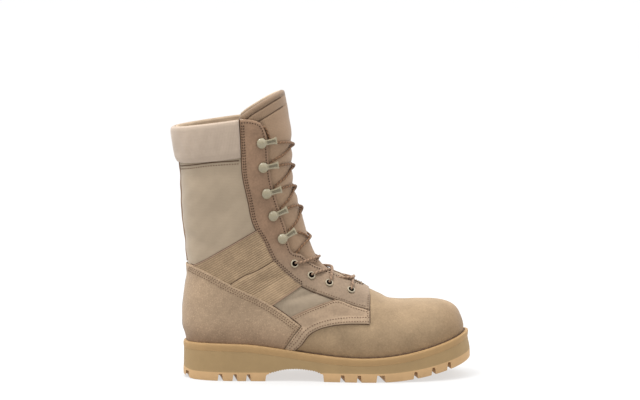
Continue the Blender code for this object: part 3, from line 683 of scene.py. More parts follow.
# Near black in the eyelets' bores: painted shadow in the holes
EYELET_PAINTED_SHADOW = plain("eyelet_painted_shadow", (0.006, 0.004, 0.003), 0.9, specular=0.0)
CORD = braided("lace_cord", (0.21, 0.117, 0.063), (0.29, 0.19, 0.125))
WELT = plain("welt_rubber", (0.395, 0.244, 0.107), 0.6, 250.0, 0.12, 0.35, 0.06)
RUBBER = plain("sole_rubber", (0.54, 0.342, 0.168), 0.65, 250.0, 0.15, 0.35, 0.07)
SIDE_RUBBER = plain("sole_side", (0.345, 0.23, 0.108), 0.65, 250.0, 0.15, 0.35, 0.05)


def cloth_map(mesh, coordinates):
    """UV layer "cloth" of a mesh, in millimetres at each vertex."""
    layer = mesh.uv_layers.new(name="cloth")
    corner = np.empty(len(mesh.loops), np.int32)
    mesh.loops.foreach_get("vertex_index", corner)
    layer.data.foreach_set("uv", np.asarray(coordinates, np.float32)[corner].ravel())


# Lacing hardware, as x and z in the side view, and for a hook also where its arm points
EYELETS = ((176.4, 93.3), (153.6, 101.2), (135.0, 109.2), (117.2, 122.1))
HOOKS = (
    (104.6, 148.6, 118.0, 156.1), (95.0, 172.8, 109.5, 178.6), (88.2, 196.6, 103.7, 200.1),
    (84.8, 223.8, 101.3, 226.0), (83.1, 248.9, 99.2, 251.3),
)
HARDWARE_SEAT = OVERLAY + 0.45
HOLE_RADIUS, HOLE_SIDES = 3.0, 20

# Edges of the overlays on the side, as x and z
EYESTAY_BACK = (
    (61.6, 274.3), (62.4, 254.0), (63.5, 234.1), (64.5, 217.0), (69.6, 191.7), (77.3, 160.3), (84.2, 149.1),
    (95.7, 125.8), (108.3, 112.7), (124.0, 100.0), (142.0, 92.0), (160.7, 85.3), (178.0, 79.4), (195.8, 74.2),
)
EYESTAY_CORNER = ((85.6, 265.4), (82.9, 269.2), (78.6, 271.8), (73.4, 273.2), (66.5, 274.0))
EYESTAY_FRONT = ((195.8, 74.2), (196.3, 82.0), (196.2, 91.9))
EYESTAY_TOP = ROW["collar"] - 0.02
CORNER_ROW, CORNER_INSET = ROW["shaft_top"] + 0.3, 0.01
COUNTER_PEAK = 121.0
COUNTER_TOP = ((10.0, 120.6), (16.0, 118.7), (51.0, 101.6), (94.2, 79.7), (111.2, 68.4), (124.8, 58.3))
COUNTER_FRONT = ((124.8, 58.3), (116.0, 47.0), (107.7, 34.8), (105.0, 31.0))
STRAP_TOP = ((114.8, 67.0), (128.4, 73.4), (148.6, 81.0), (160.7, 84.8), (178.0, 79.2), (195.8, 73.7))
STRAP_LOW = (
    (195.8, 60.9), (183.0, 61.2), (171.8, 61.1), (155.0, 59.0), (143.0, 55.5), (134.1, 50.4), (124.8, 38.6),
    (116.5, 30.5),
)
STRAP_FRONT = ((195.8, 73.7), (195.9, 67.0), (195.8, 60.9))
STRAP_REAR = ((105.2, 31.0), (108.0, 34.8), (116.4, 47.0), (125.4, 58.3))
STRAP_CLOSE = ((125.4, 58.3), (114.8, 67.0))
RIBBED_TOP = ((9.0, 117.2), (16.1, 120.8), (48.0, 139.3), (84.0, 160.2))
RIBBED_FRONT = ((84.0, 160.2), (90.0, 150.0), (102.0, 128.0), (114.0, 115.0), (128.0, 102.2))
RIBBED_LOW = ((128.0, 102.2), (110.0, 90.0), (93.0, 78.4), (88.0, 74.8))
RIBBED_UNDER = ((88.0, 74.8), (50.0, 94.0), (14.0, 112.0), (9.0, 117.2))
RIBBED_AREA = ((5.0, 115.0), (16.0, 123.0), (86.0, 163.0), (132.0, 103.0), (88.0, 72.0), (48.0, 94.0))
PANEL_SPACING, EYESTAY_SPACING = 1.5, 1.8


# Upper: the body under the overlays, with its lining
def throat_corner():
    """Chart line round the corner between the throat's edge and the collar, beginning after the edge."""
    row = np.array([CORNER_ROW])
    begin = skin(row, throat_share(row), -1)[0, [0, 2]]
    return chart(spline([begin, *EYESTAY_CORNER], 1.2))[1:]


BODY_STEP = 0.1
BODY_COLUMNS = 56
TOE_SHADE, TOE_SHADE_FROM, TOE_SHADE_OVER = 0.85, 266.0, 25.0
GUSSET_SHADE, GUSSET_TOP = 0.77, 104.0
VAMP_LINE = ((100.0, 20.0), (118.0, 43.0), (135.0, 60.0), (160.0, 72.0), (190.0, 68.0))


def body_rows():
    rows = np.arange(0, ROW["collar"] + BODY_STEP / 2, BODY_STEP)
    heel = np.arange(ROW["heel_round"] + BODY_STEP / 2, ROW["heel_back"], BODY_STEP)
    return np.unique(np.round(np.concatenate([rows, heel]), 4))


def is_vamp(x, z):
    """Where the body shows as suede: in front of the strap's middle line."""
    along, up = np.array(VAMP_LINE).T
    return (x > along[-1]) | ((x > along[0]) & (z < np.interp(x, along, up)))


def make_body():
    rows = body_rows()
    corner = throat_corner()
    start = np.where(rows > THROAT_START, throat_share(rows), 0.0)
    start = np.where(rows > CORNER_ROW, np.interp(rows, corner[:, 0], corner[:, 1] + CORNER_INSET), start)
    t = start[:, None] + (1 - start)[:, None] * np.linspace(0, 1, BODY_COLUMNS)
    u = np.repeat(rows[:, None], BODY_COLUMNS, 1)
    count = u.size
    index = np.arange(2 * count).reshape(2, *u.shape)
    closed, behind = rows <= THROAT_START + TINY, rows >= ROW["heel_corner"] - TINY
    index[1, 0] = index[0, 0]
    index[1, closed, 0] = index[0, closed, 0]
    index[1, behind, -1] = index[0, behind, -1]
    outer, inner = (
        np.vstack([lift(u.ravel(), t.ravel(), side, np.full(count, height)) for side, _ in SIDES])
        for height in (0.0, -WALL)
    )
    quads = np.stack([index[:, :-1, :-1], index[:, 1:, :-1], index[:, 1:, 1:], index[:, :-1, 1:]], -1)
    faces = np.vstack([quads[0].reshape(-1, 4), quads[1, ..., ::-1].reshape(-1, 4)])
    middle = outer[faces].mean(1)
    for x, z in EYELETS:
        off_hole = np.hypot(middle[:, 0] - x, middle[:, 2] - z) > HOLE_RADIUS
        faces, middle = faces[off_hole], middle[off_hole]
    edges = {(f[k - 1], f[k]) for f in faces.tolist() for k in range(4)}
    rims = [(b, a, a + 2 * count, b + 2 * count) for a, b in edges if (b, a) not in edges and a != b]
    every = [*faces.tolist(), *(faces[:, ::-1] + 2 * count).tolist(), *rims]
    every = [tuple(dict.fromkeys(face)) for face in every]
    zones = np.where(is_vamp(middle[:, 0], middle[:, 2]), 0, 1)
    zones = np.concatenate([zones, np.full(len(faces) + len(rims), 2)])
    keep = [n for n, face in enumerate(every) if len(face) > 2]
    points = np.vstack([outer, inner])
    x, _, z = points.T
    shade = above_sole(points) * (1 - TOE_SHADE * clamp((x - TOE_SHADE_FROM) / TOE_SHADE_OVER))
    shade *= np.where(is_vamp(x, z) | (z > GUSSET_TOP), 1, GUSSET_SHADE)
    finishes, faces = [SUEDE, NYLON, LINING], [every[n] for n in keep]
    obj = piece("upper_body", points, faces, finishes, "suede", ["upper"], zones[keep], shade=shade)
    grid = outer[:count].reshape(*u.shape, 3)
    around = np.cumsum(np.linalg.norm(np.diff(grid, axis=1, prepend=0), axis=2), 1)
    half_map = np.column_stack([around.ravel(), outer[:count, 2]])
    cloth_map(obj.data, np.tile(half_map, (4, 1)))
    clean(obj.data)


# Panels over the body
def chart_loop(*lines):
    """A closed chart loop from lines that follow each other."""
    loop = np.vstack(lines)
    keep = np.linalg.norm((loop - np.roll(loop, 1, 0)) * CHART_SCALE, axis=1) > 0.05
    return loop[keep]


def along_back(u_from, u_to, count):
    return np.column_stack([np.linspace(u_from, u_to, count), np.ones(count)])


def hole_loop(x, z):
    turn = np.linspace(0, 2 * np.pi, HOLE_SIDES, endpoint=False)
    return chart(np.column_stack([x + HOLE_RADIUS * np.cos(turn), z + HOLE_RADIUS * np.sin(turn)]))


BAND_RISE, BAND_SOFT, COUNTER_BAND, STRAP_BAND = 0.4, 0.3, 8.4, 7.4
FURROW_DEPTH, FURROW_WIDE = 0.3, 0.7
BAND_STEP = 0.7


def raised_band(line, side, width):
    """Relief of a doubled edge: a band beside a chart line, with a furrow where it ends."""
    line_points = skin(*even(line, side, BAND_STEP).T, side)

    def relief(points):
        off = nearest(points, line_points) - width
        furrow = FURROW_DEPTH * bell((off - FURROW_WIDE) / FURROW_WIDE)
        return BAND_RISE / (1 + np.exp(off / BAND_SOFT)) - furrow

    return relief


def counter_sheet(side):
    seam = chart([(float(back_line(COUNTER_PEAK)), COUNTER_PEAK)])
    seam[:, 1] = 1
    top = even(np.vstack([seam, chart(spline(COUNTER_TOP))]), side, EDGE_STEP)
    front = edge_line(COUNTER_FRONT, side)
    front[-1, 1] = 1
    loop = chart_loop(top, front, along_back(front[-1, 0], top[0, 0], 80)[1:-1])
    relief = raised_band(top, side, COUNTER_BAND)
    return sheet(loop, [top, front], side, OVERLAY, lattice(loop, PANEL_SPACING), relief=relief)


def eyestay_edges(side):
    """Chart lines round the eyestay: back, front, throat, and the rounded top corner with the top."""
    back, front = (edge_line(places, side) for places in (EYESTAY_BACK, EYESTAY_FRONT))
    front[-1, 1] = 0
    rows = np.linspace(front[-1, 0], CORNER_ROW, 260)
    throat = np.column_stack([rows, np.where(rows > THROAT_START, throat_share(rows), 0)])
    corner = throat_corner()
    top = np.linspace(corner[-1], (EYESTAY_TOP, back[0, 1]), 6)[1:]
    return back, front, throat, np.vstack([corner, top])


def eyestay_sheet(side):
    back, front, throat, top = eyestay_edges(side)
    loop = chart_loop(back, front, throat, top)
    holes = [hole_loop(x, z) for x, z in EYELETS]
    rims = [back, front, throat[throat[:, 0] > THROAT_START + 0.2], top]
    return sheet(loop, rims, side, OVERLAY, lattice(loop, EYESTAY_SPACING), holes)


def strap_sheet(side):
    edges = (STRAP_TOP, STRAP_FRONT, STRAP_LOW, STRAP_REAR, STRAP_CLOSE)
    rims = [edge_line(places, side) for places in edges]
    top, front, low, rear, close = rims
    low[-1, 1] = rear[0, 1] = 1
    loop = chart_loop(top, front, low, along_back(low[-1, 0], rear[0, 0], 12), rear, close)
    relief = raised_band(low, side, STRAP_BAND)
    return sheet(loop, rims, side, OVERLAY, lattice(loop, PANEL_SPACING), relief=relief)


RIB_HEIGHT, RIB_FINENESS, RIB_STEP = 0.22, 5, 2.4
RIBBED_THICK = 1.35
RIB_ANGLE = math.atan2(158.1 - 120.8, 80.0 - 16.1)
RIB_COS, RIB_SIN = math.cos(RIB_ANGLE), math.sin(RIB_ANGLE)
RIBS_ALONG, RIBS_ACROSS = (20.0, 170.0), (40.0, 140.0)
FOLD_DEPTH, FOLD_WIDE = 0.85, 1.3
SWELL_HEIGHT, SWELL_WIDE, SWELL_AT = 0.6, 3.0, 4.5
RIB_FOLD = ((97.0, 126.8), (81.1, 117.0), (66.2, 110.6), (50.5, 101.0))


def rib_map(points):
    """Places along and across the ribs."""
    return points[:, [0, 2]] @ np.array([[RIB_COS, -RIB_SIN], [RIB_SIN, RIB_COS]])


def rib_height(points):
    """Ribs along the panel, and the fold across it with a swell beside it."""
    ribs = RIB_HEIGHT * (np.cos(2 * np.pi * rib_map(points)[:, 1] / RIB_PITCH) - 1)
    line, flat = spline(RIB_FOLD, 0.6), points * (1, 0, 1)
    fold, swell = (nearest(flat, np.insert(at, 1, 0, 1)) for at in (line, beside(line, SWELL_AT)))
    return ribs - FOLD_DEPTH * bell(fold / FOLD_WIDE) + SWELL_HEIGHT * bell(swell / SWELL_WIDE)


def ribbed_sheet(side):
    top, low = (edge_line(places, side, 1.0) for places in (RIBBED_TOP, RIBBED_LOW))
    front, under = (edge_line(places, side, 1.5) for places in (RIBBED_FRONT, RIBBED_UNDER))
    across = np.arange(*RIBS_ACROSS, RIB_PITCH / RIB_FINENESS)
    a, c = (grid.ravel() for grid in np.meshgrid(np.arange(*RIBS_ALONG, RIB_STEP), across))
    places = np.column_stack([a * RIB_COS - c * RIB_SIN, a * RIB_SIN + c * RIB_COS])
    filling = chart(places[inside(places, np.array(RIBBED_AREA))])
    loop = chart_loop(top, front, low, under)
    return sheet(loop, [top, low], side, RIBBED_THICK, filling, relief=rib_height)


EYESTAY_LIGHT = (98.0, 150.0)
STRAP_UPPER_SHADE = 0.4
COUNTER_WELD = 2e-5


def make_panels():
    points, faces = joined([counter_sheet(side) for side, _ in SIDES])
    light = above_sole(points)
    counter = piece("counter", points, faces, [COUNTER_SUEDE], "suede", ["heel_counter"], shade=light)
    clean(counter.data, COUNTER_WELD)
    for side, label in SIDES:
        points, faces = eyestay_sheet(side)
        # Painted light: the eyestay lighter towards its low end, which faces up
        light = between(points[:, 2], *EYESTAY_LIGHT)
        piece(f"eyestay_panel_{label}", points, faces, [NUBUCK], "nubuck", [f"eyestay_{label}"], shade=light)
        points, faces = strap_sheet(side)
        off = nearest(points, skin(*edge_line(STRAP_LOW, side, BAND_STEP).T, side))
        # Painted shade: the strap darker towards the sole and above its doubled band
        light = above_sole(points) * np.where(off < STRAP_BAND + 0.5, 1.0, STRAP_UPPER_SHADE)
        solid = f"quarter_strap_{label}"
        piece(f"strap_panel_{label}", points, faces, [STRAP_NUBUCK], "nubuck", [solid], shade=light)
        points, faces = ribbed_sheet(side)
        cloth_map(piece(f"ribbed_panel_{label}", points, faces, [RIBBED], "nylon").data, rib_map(points))


# Padded cuff
CUFF_SEAT = 0.7
CUFF_LOW = (19.48, 19.84)
CUFF_FRONT = (55.6, 52.2)
CUFF_PAD = (
    (0.0, 0.0), (0.04, 1.6), (0.1, 2.7), (0.35, 4.2), (0.6, 5.0), (0.8, 5.2), (0.92, 4.8), (0.97, 3.9),
    (1.0, 2.2),
)
CUFF_SPAN, CUFF_ROUND, CUFF_END, CUFF_CLOTH = 90.0, 4.0, 0.35, 40
CUFF_ROWS, CUFF_COLUMNS = 44, 64


def make_cuff():
    share = np.sin(np.linspace(0, math.pi / 2, CUFF_COLUMNS))
    share, side = np.concatenate([share, share[-2::-1]]), np.repeat([-1, 1], [CUFF_COLUMNS, CUFF_COLUMNS - 1])
    up = ((1 - np.cos(np.linspace(0, math.pi, CUFF_ROWS))) / 2)[:, None]
    low = CUFF_LOW[0] + (CUFF_LOW[1] - CUFF_LOW[0]) * share
    u = low + (ROW["collar"] - low) * up
    front = CUFF_FRONT[0] + (CUFF_FRONT[1] - CUFF_FRONT[0]) * up
    pillow = CUFF_END + (1 - CUFF_END) * quarter(share * CUFF_SPAN / CUFF_ROUND, 2)
    wave = 0.35 * np.sin(share * 31 + up * 5) * np.sin(up * math.pi)
    wave = wave + 0.25 * np.sin(share * 57 * side + up * 9)
    skins = []
    for pad in ((curve(CUFF_PAD)(up) + wave * up * (1 - up) * 3) * pillow, np.zeros_like(u)):
        offset = CUFF_SEAT + pad
        begin, end = front + offset, reach(u, offset)
        skins.append(form(u, begin + (end - begin) * share, side * np.ones_like(u), offset).reshape(-1, 3))
    quads, rims = shell_faces(u.shape)
    obj = piece("cuff_pad", np.vstack(skins), [*quads, *rims], [CUFF_NYLON], "nylon", ["collar_cuff"])
    flat = np.stack([np.cumsum(np.ones_like(u), 1), up * np.ones_like(u) * CUFF_CLOTH], -1).reshape(-1, 2)
    cloth_map(obj.data, np.tile(flat, (2, 1)))


# Tongue
TONGUE_GAP = 0.7
TONGUE_THICK = 4.5
TONGUE_LAP = 14.0
TONGUE_PEAK, TONGUE_FALL = ROW["tongue_top"] - 0.18, 1.68
TONGUE_BULGE = (
    (ROW["heel_breast"], 1.6), (ROW["heel_corner"], 0.6), (ROW["ankle"], 0.4), (ROW["ankle_top"], 0.0),
    (ROW["shaft_low"] + 0.4, 0.8), (ROW["shaft_top"], 1.8), (ROW["tongue_top"], 3.0),
)
tongue_bulge = curve(TONGUE_BULGE)
TONGUE_PUFF, TONGUE_FULL = 0.9, 14.0
TONGUE_START = ROW["vamp"] - 0.05
TONGUE_COLUMNS = 81
TONGUE_LINES = (5.4, 15.0)
TONGUE_RECESS = 7.0
TONGUE_RIM, RIM_LEFT = 2.6, 0.2
TONGUE_ROWS, FINE_ROWS, FINE_FROM = 110, 90, 0.84
TONGUE_CLOTH = (40, 16)
SEAM_FROM, SEAM_FADE, QUILT_WIDE, SEAM_DEPTH = 0.12, 0.15, 0.9, 0.7
SEAM_ENDS, SEAM_SEARCH = (0.3, 0.97), 2.4
RIM_SHADE, SEAM_SHADE = 0.45, 0.75
HOOK_ROWS = locate(*((np.array(HOOKS)[:, :2] + np.array(HOOKS)[:, 2:]) / 2).T)[0]


def tongue_rise(u, distance):
    """Offset of the tongue's outer skin: it bulges, most between the crossings of the lace."""
    opening = np.maximum(section(u)["open"], 1.0)
    free = clamp(1 - (distance / opening) ** 2)
    turn = np.interp(u, HOOK_ROWS, np.arange(len(HOOK_ROWS)))
    laced = clamp((u - HOOK_ROWS[0]) * 2) * clamp((HOOK_ROWS[-1] + 0.8 - u) * 2)
    puff = TONGUE_PUFF * np.cos(2 * np.pi * turn) * laced
    return (tongue_bulge(u) * clamp(opening / TONGUE_FULL) + puff) * free - WALL - TONGUE_GAP


def tongue_top(across):
    """Row of the tongue's top edge: a rounded peak that falls to both sides."""
    return TONGUE_PEAK - TONGUE_FALL * across**2


def tongue_distance(u, across):
    share = (u - TONGUE_START) / (ROW["tongue_top"] - TONGUE_START)
    wide = np.maximum(section(u)["open"], 0) + TONGUE_LAP * (0.6 + 0.4 * clamp(share * 4))
    return wide * across**2


def below_tongue_edge(u, across):
    """Distance in the side view from points of the tongue to its top edge."""
    fine = np.linspace(0, 1, 400)
    edge = form(tongue_top(fine), tongue_distance(tongue_top(fine), fine), 1)
    edge[:, 1] = 0
    points = form(u, tongue_distance(u, across), 1)
    points[..., 1] = 0
    return nearest(points.reshape(-1, 3), edge).reshape(u.shape)


def recess(u, distance):
    """Shade of the tongue: darker where it goes under the eyestays, and less so above them."""
    edge = clamp((section(u)["open"] + 1.0 - distance) / TONGUE_RECESS)
    return np.maximum(edge, clamp((u - ROW["collar"] + 0.6) * 1.5))


def make_tongue():
    across = np.linspace(-1, 1, TONGUE_COLUMNS)
    low_rows = np.linspace(0, FINE_FROM, TONGUE_ROWS, endpoint=False)
    up = np.concatenate([low_rows, np.linspace(FINE_FROM, 1, FINE_ROWS)])[:, None]
    u = TONGUE_START + (tongue_top(across) - TONGUE_START) * up
    distance, side = tongue_distance(u, across), np.sign(across) * np.ones_like(u)
    from_top = below_tongue_edge(u, across)
    aside = clamp((np.abs(across) - SEAM_FROM) / SEAM_FADE)
    quilt = sum(aside * bell((from_top - line) / QUILT_WIDE) for line in TONGUE_LINES)
    outer = tongue_rise(u, distance) - quilt
    inner = np.full(u.shape, -WALL - TONGUE_GAP - TONGUE_THICK)
    half = (outer - inner) / 2 * (RIM_LEFT + (1 - RIM_LEFT) * quarter(from_top / TONGUE_RIM, 2))
    middle = (outer + inner) / 2
    skins = [form(u, distance, side, offset).reshape(-1, 3) for offset in (middle + half, middle - half)]
    quads, rims = shell_faces(u.shape)
    faces, finishes = [*quads, *rims], [TONGUE_NYLON, LINING]
    zones = np.repeat([0, 1, 0], [len(quads) // 2, len(quads) // 2, len(rims)])
    bands = np.where(from_top < TONGUE_LINES[1], 1 - (1 - SEAM_SHADE) * aside, 1)
    bands = np.where(from_top < TONGUE_LINES[0], RIM_SHADE, bands)
    shade = np.tile((recess(u, distance) * bands).ravel(), 2)
    points = np.vstack(skins)
    obj = piece("tongue_pad", points, faces, finishes, "padded_nylon", ["tongue"], zones, shade=shade)
    flat = np.stack([across * np.ones_like(u), u], -1).reshape(-1, 2) * TONGUE_CLOTH
    cloth_map(obj.data, np.tile(flat, (2, 1)))


def tongue_line(below, side):
    """A line on the tongue at a distance below its top edge."""
    across = np.linspace(*SEAM_ENDS, 50) * side
    u = tongue_top(across) - np.linspace(0, SEAM_SEARCH, 60)[:, None]
    depth = below_tongue_edge(u, across)
    at = np.array([np.interp(below, depth[:, n], u[:, n]) for n in range(len(across))])
    distance = tongue_distance(at, across)
    return form(at, distance, np.full(len(across), side), tongue_rise(at, distance) - SEAM_DEPTH)


# Stitches, piping, and dark lines: the panels' cut edges with painted shadow at their feet, and painted
# shadow in gaps, folds and seams
STITCH_RINGS = ((-0.5, 0.3), (-0.3, 0.85), (0.3, 0.85), (0.5, 0.3))
STITCH_SIDES, STITCH_FLAT = 6, 0.8
STITCH_PITCH, STITCH_LENGTH, STITCH_WIDTH, DARK_WIDTH = 2.8, 1.6, 1.05, 1.4
SEAM_ON_PANEL = OVERLAY + 0.1
CUFF_SEAM = ((4.0, 221.2), (30.3, 225.6), (61.0, 228.0))
BACK_SPLIT = 126.0
CORD_SIDES = 6
EDGE_HEIGHT, EDGE_RADIUS, CUFF_EDGE_RADIUS, SEAM_RADIUS = 0.35, 0.42, 0.5, 0.45
PIPING_RADIUS, BACK_RADIUS, BACK_HEIGHT, BACK_POINTS = 0.8, 1.0, 0.3, 60
PANEL_FRONT = ((195.8, 62.0), (195.9, 74.0), (196.2, 88.0))


def stitches(points, along, out, width):
    """Small threads along a line: centres with the way along it and the way out at each."""
    turn = np.linspace(0, 2 * np.pi, STITCH_SIDES, endpoint=False)
    made, faces, count = [], [], len(STITCH_RINGS)
    for centre, x, y, z in zip(points, along, np.cross(out, along), out):
        faces += wall_faces(count, STITCH_SIDES, len(made)) + cap_faces(count, STITCH_SIDES, len(made))
        about = [y * math.cos(a) + z * math.sin(a) * STITCH_FLAT for a in turn]
        for share, thick in STITCH_RINGS:
            ring = centre + x * share * STITCH_LENGTH
            made += [ring + way * width * thick / 2 for way in about]
    return np.array(made), faces


def stitch_row(line, side, height, slant=0.0, width=STITCH_WIDTH):
    """One row of stitches along a chart line, each turned by slant in the surface."""
    at = even(line, side, STITCH_PITCH / 2)
    points = lift(*at.T, side, np.full(len(at), height))
    along = unit(points[2::2] - points[:-2:2])
    out = outward(*at[1:-1:2].T, side)
    along = along * math.cos(slant) + np.cross(out, along) * math.sin(slant)
    return stitches(points[1:-1:2], along, out, width)


def tube(points, radius, sides=8):
    """Points and faces of a round tube along a line, with caps."""
    along = unit(np.gradient(points, axis=0))
    side = np.cross(along[0], (0.3, 0.2, 1.0))
    turn = np.linspace(0, 2 * np.pi, sides, endpoint=False)
    rings, count = [], len(points)
    for centre, way, thick in zip(points, along, np.broadcast_to(radius, count)):
        side = unit(side - way * (side @ way))
        up = np.cross(way, side)
        rings.append(centre + thick * (np.outer(np.cos(turn), side) + np.outer(np.sin(turn), up)))
    return np.vstack(rings), wall_faces(count, sides) + cap_faces(count, sides)


def cord_on(line_chart, side, height, radius):
    """A tube along a chart line, its middle at a height over the surface."""
    at = even(line_chart, side, 2.0)
    return tube(lift(*at.T, side, np.full(len(at), height)), radius, CORD_SIDES)


def to_back(line_chart):
    """A chart line begun at the back seam."""
    return np.vstack([(line_chart[0, 0], 1.0), line_chart])


def feather_cord():
    """The dark line all round where the upper meets the sole, slightly uneven: painted shadow in the gap
    between them.
    """
    ring = grown(sole_ring(), 0.35)
    ring = np.vstack([ring, ring[:1]])
    height = feather(ring[:, 0]) + 0.5 + 0.3 * np.sin(1.7 * np.arange(len(ring)))
    return tube(np.column_stack([ring, height]), 1.0, CORD_SIDES)


def make_seams():
    """Rows of stitches are (line, distance to its left, slant, height), and edges (line, distance) of dark
    lines: cut edges with painted shadow at their feet, and painted shadow along the ribbed fold.
    """
    back, counter, low = spline(EYESTAY_BACK), spline(COUNTER_TOP), spline(STRAP_LOW)
    counter_front, strap_top, front = spline(COUNTER_FRONT), spline(STRAP_TOP), spline(PANEL_FRONT)
    on_band = SEAM_ON_PANEL + BAND_RISE
    upper_back, lower_back = back[back[:, 0] < BACK_SPLIT][2:], back[back[:, 0] > BACK_SPLIT][:-1]
    dark_rows = ((upper_back, 1.6, 0.7, SEAM_ON_PANEL), (upper_back, 3.6, -0.7, SEAM_ON_PANEL))
    rows = (
        (lower_back, 2.0, 0.0, SEAM_ON_PANEL), (counter, -2.6, 0.7, on_band), (counter, -4.8, -0.7, on_band),
        (counter, -7.0, 0.7, on_band), (counter_front[:-3], -2.4, 0.0, SEAM_ON_PANEL),
        (counter_front[:-3], 2.2, 0.0, SEAM_ON_PANEL), (low, -2.0, 0.0, on_band), (low, -6.0, 0.0, on_band),
        (strap_top, -2.2, 0.0, SEAM_ON_PANEL), (front, 2.0, 0.0, SEAM_ON_PANEL),
    )
    edges = (
        (back, -0.5), (counter, 0.4), (counter_front, -0.4), (low, 0.4), (strap_top, 0.3), (front, -0.5),
        (spline(RIBBED_LOW), -0.9), (spline(RIBBED_TOP), 0.9), (spline(RIB_FOLD), 0.0),
    )
    cuff_seam = chart(spline(CUFF_SEAM))
    cuff_edge = chart(beside(spline(CUFF_SEAM), 3.2))
    dark, light, cords, shades = [], [], [], [feather_cord()]
    for side, _ in SIDES:
        dark += [stitch_row(chart(beside(line, d)), side, height, slant, DARK_WIDTH)
                 for line, d, slant, height in dark_rows]
        light += [stitch_row(chart(beside(line, d)), side, height, slant) for line, d, slant, height in rows]
        _, _, throat, top = eyestay_edges(side)
        rim = even(np.vstack([throat[throat[:, 0] > THROAT_START + 0.25], top]), side, 3.0)
        dark.append(stitch_row(inset(rim, side, 3.0), side, SEAM_ON_PANEL + 0.1, 0.0, DARK_WIDTH))
        light.append(stitch_row(to_back(cuff_seam), side, 0.15))
        # Dark lines: cut edges with painted shadow at their feet, painted shadow along the ribbed fold, under
        # the cuff and in the tongue's seams
        shades += [cord_on(chart(beside(line, d)), side, EDGE_HEIGHT, EDGE_RADIUS) for line, d in edges]
        shades.append(cord_on(to_back(cuff_edge), side, EDGE_HEIGHT, CUFF_EDGE_RADIUS))
        shades += [tube(tongue_line(line, side), SEAM_RADIUS, CORD_SIDES) for line in TONGUE_LINES]
        cords += [cord_on(chart(spline(line)), side, height, PIPING_RADIUS)
                  for line, height in ((RIBBED_TOP, 0.7), (RIBBED_LOW, 0.7), (STRAP_TOP[:4], 1.4))]
    u, t = along_back(ROW["ankle_top"] - 0.15, CUFF_LOW[1], BACK_POINTS).T
    cords.append(tube(lift(u, t, 1, np.full(BACK_POINTS, BACK_HEIGHT)), BACK_RADIUS))
    piece("stitches_dark", *joined(dark), [DARK_THREAD], "nubuck")
    piece("stitches_light", *joined(light), [THREAD], "nubuck")
    piece("dark_lines_and_painted_shadow", *joined(shades), [DARK_EDGE_AND_SHADOW], "nubuck")
    piece("piping", *joined(cords), [PIPING], "nubuck")


# Eyelets and hooks
EYELET_PROFILE = (
    (2.8, -3.4), (2.8, 0.3), (2.95, 0.75), (3.35, 0.95), (3.8, 0.85), (4.15, 0.45), (4.25, 0.0), (3.0, -0.2),
    (3.0, -3.4),
)
EYELET_BORE, EYELET_DEPTH = 2.9, -0.6
HEAD_PROFILE = (
    (0.0, 3.8), (1.4, 3.65), (2.7, 3.25), (3.9, 2.55), (4.8, 1.75), (5.3, 1.15), (5.5, 0.65), (5.3, 0.4),
    (3.4, 0.35), (3.4, -0.3), (0.0, -0.3),
)
HEAD_RIM = 5
TURN_SIDES = 32
ARM_FROM, ARM_TO = 3.2, 16.6
ARM_THICK, ARM_BELOW, ARM_POINTS = 1.1, 0.4, (28, 19)
ARM_HALF, ARM_PINCH, ARM_FLARE = 3.0, 0.4, 0.9
ARM_HEIGHT, ARM_RISE, ARM_DROP, ARM_CROWN = 1.45, 1.3, 5.6, 0.5
GROOVE_DEPTH, GROOVE_WIDE, GROOVE_SHADED = 1.2, 0.46, 0.4
HARDWARE_ANGLE = 50


def seat(x, z, side, toward=None):
    """Matrix at a place on the outside of the eyestay: Z is the way out, X the way to a second place."""
    at = chart([(x, z)])
    out = Vector(outward(*at.T, side)[0])
    point = Vector(metres(skin(*at.T, side))[0]) + out * HARDWARE_SEAT / 1000
    along = Vector((toward[0] - x, 0, toward[1] - z)) if toward else Vector((1, 0, 0))
    along = (along - out * along.dot(out)).normalized()
    return Matrix.Translation(point) @ Matrix((along, out.cross(along), out)).transposed().to_4x4()


def turned(profile, closed):
    turn = np.linspace(0, 2 * np.pi, TURN_SIDES, endpoint=False)
    points = np.array([(r * math.cos(a), r * math.sin(a), h) for a in turn for r, h in profile])
    count, faces = len(profile), []
    for i in range(TURN_SIDES):
        here, there = i * count, (i + 1) % TURN_SIDES * count
        faces += [(here + k, here + (k + 1) % count, there + (k + 1) % count, there + k)
                  for k in range(count if closed else count - 1)]
    return points, faces


def arm_mesh():
    """The hook's arm: two flanges and a groove between them, wider at its lifted tip, with its zones (1 is
    painted shade deep in the groove).
    """
    along = np.linspace(0, 1, ARM_POINTS[0])[:, None]
    across = np.linspace(-1, 1, ARM_POINTS[1])
    x = ARM_FROM + (ARM_TO - ARM_FROM) * along + 0.0 * across
    half = ARM_HALF - ARM_PINCH * np.sin(clamp(along * 1.5) * math.pi)
    half = half + ARM_FLARE * clamp((along - 0.76) / 0.2)
    open_groove = clamp((along - 0.14) * 9) * clamp((0.88 - along) * 12)
    groove = GROOVE_DEPTH * np.exp(-((across / GROOVE_WIDE) ** 6)) * open_groove
    z = ARM_HEIGHT + ARM_RISE * along - ARM_DROP * clamp(along - 0.86) * along
    z = z + ARM_CROWN * (1 - across**2) - groove
    top = np.stack([x, half * across, z], -1)
    low = top - (0, 0, ARM_THICK)
    low[..., 2] = np.minimum(low[..., 2], z.min(1, keepdims=True) - ARM_BELOW)
    quads, rims = shell_faces(x.shape, turned_over=True)
    deep = np.tile((groove > GROOVE_SHADED).ravel(), 2)
    zones = [int(n < len(quads) // 2 and any(deep[i] for i in face)) for n, face in enumerate(quads)]
    return np.vstack([top.reshape(-1, 3), low.reshape(-1, 3)]), [*quads, *rims], zones + [0] * len(rims)


def hardware(name, mesh, where, node):
    obj = linked(name, mesh)
    obj.matrix_world = where
    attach(obj, "root")
    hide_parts(node)


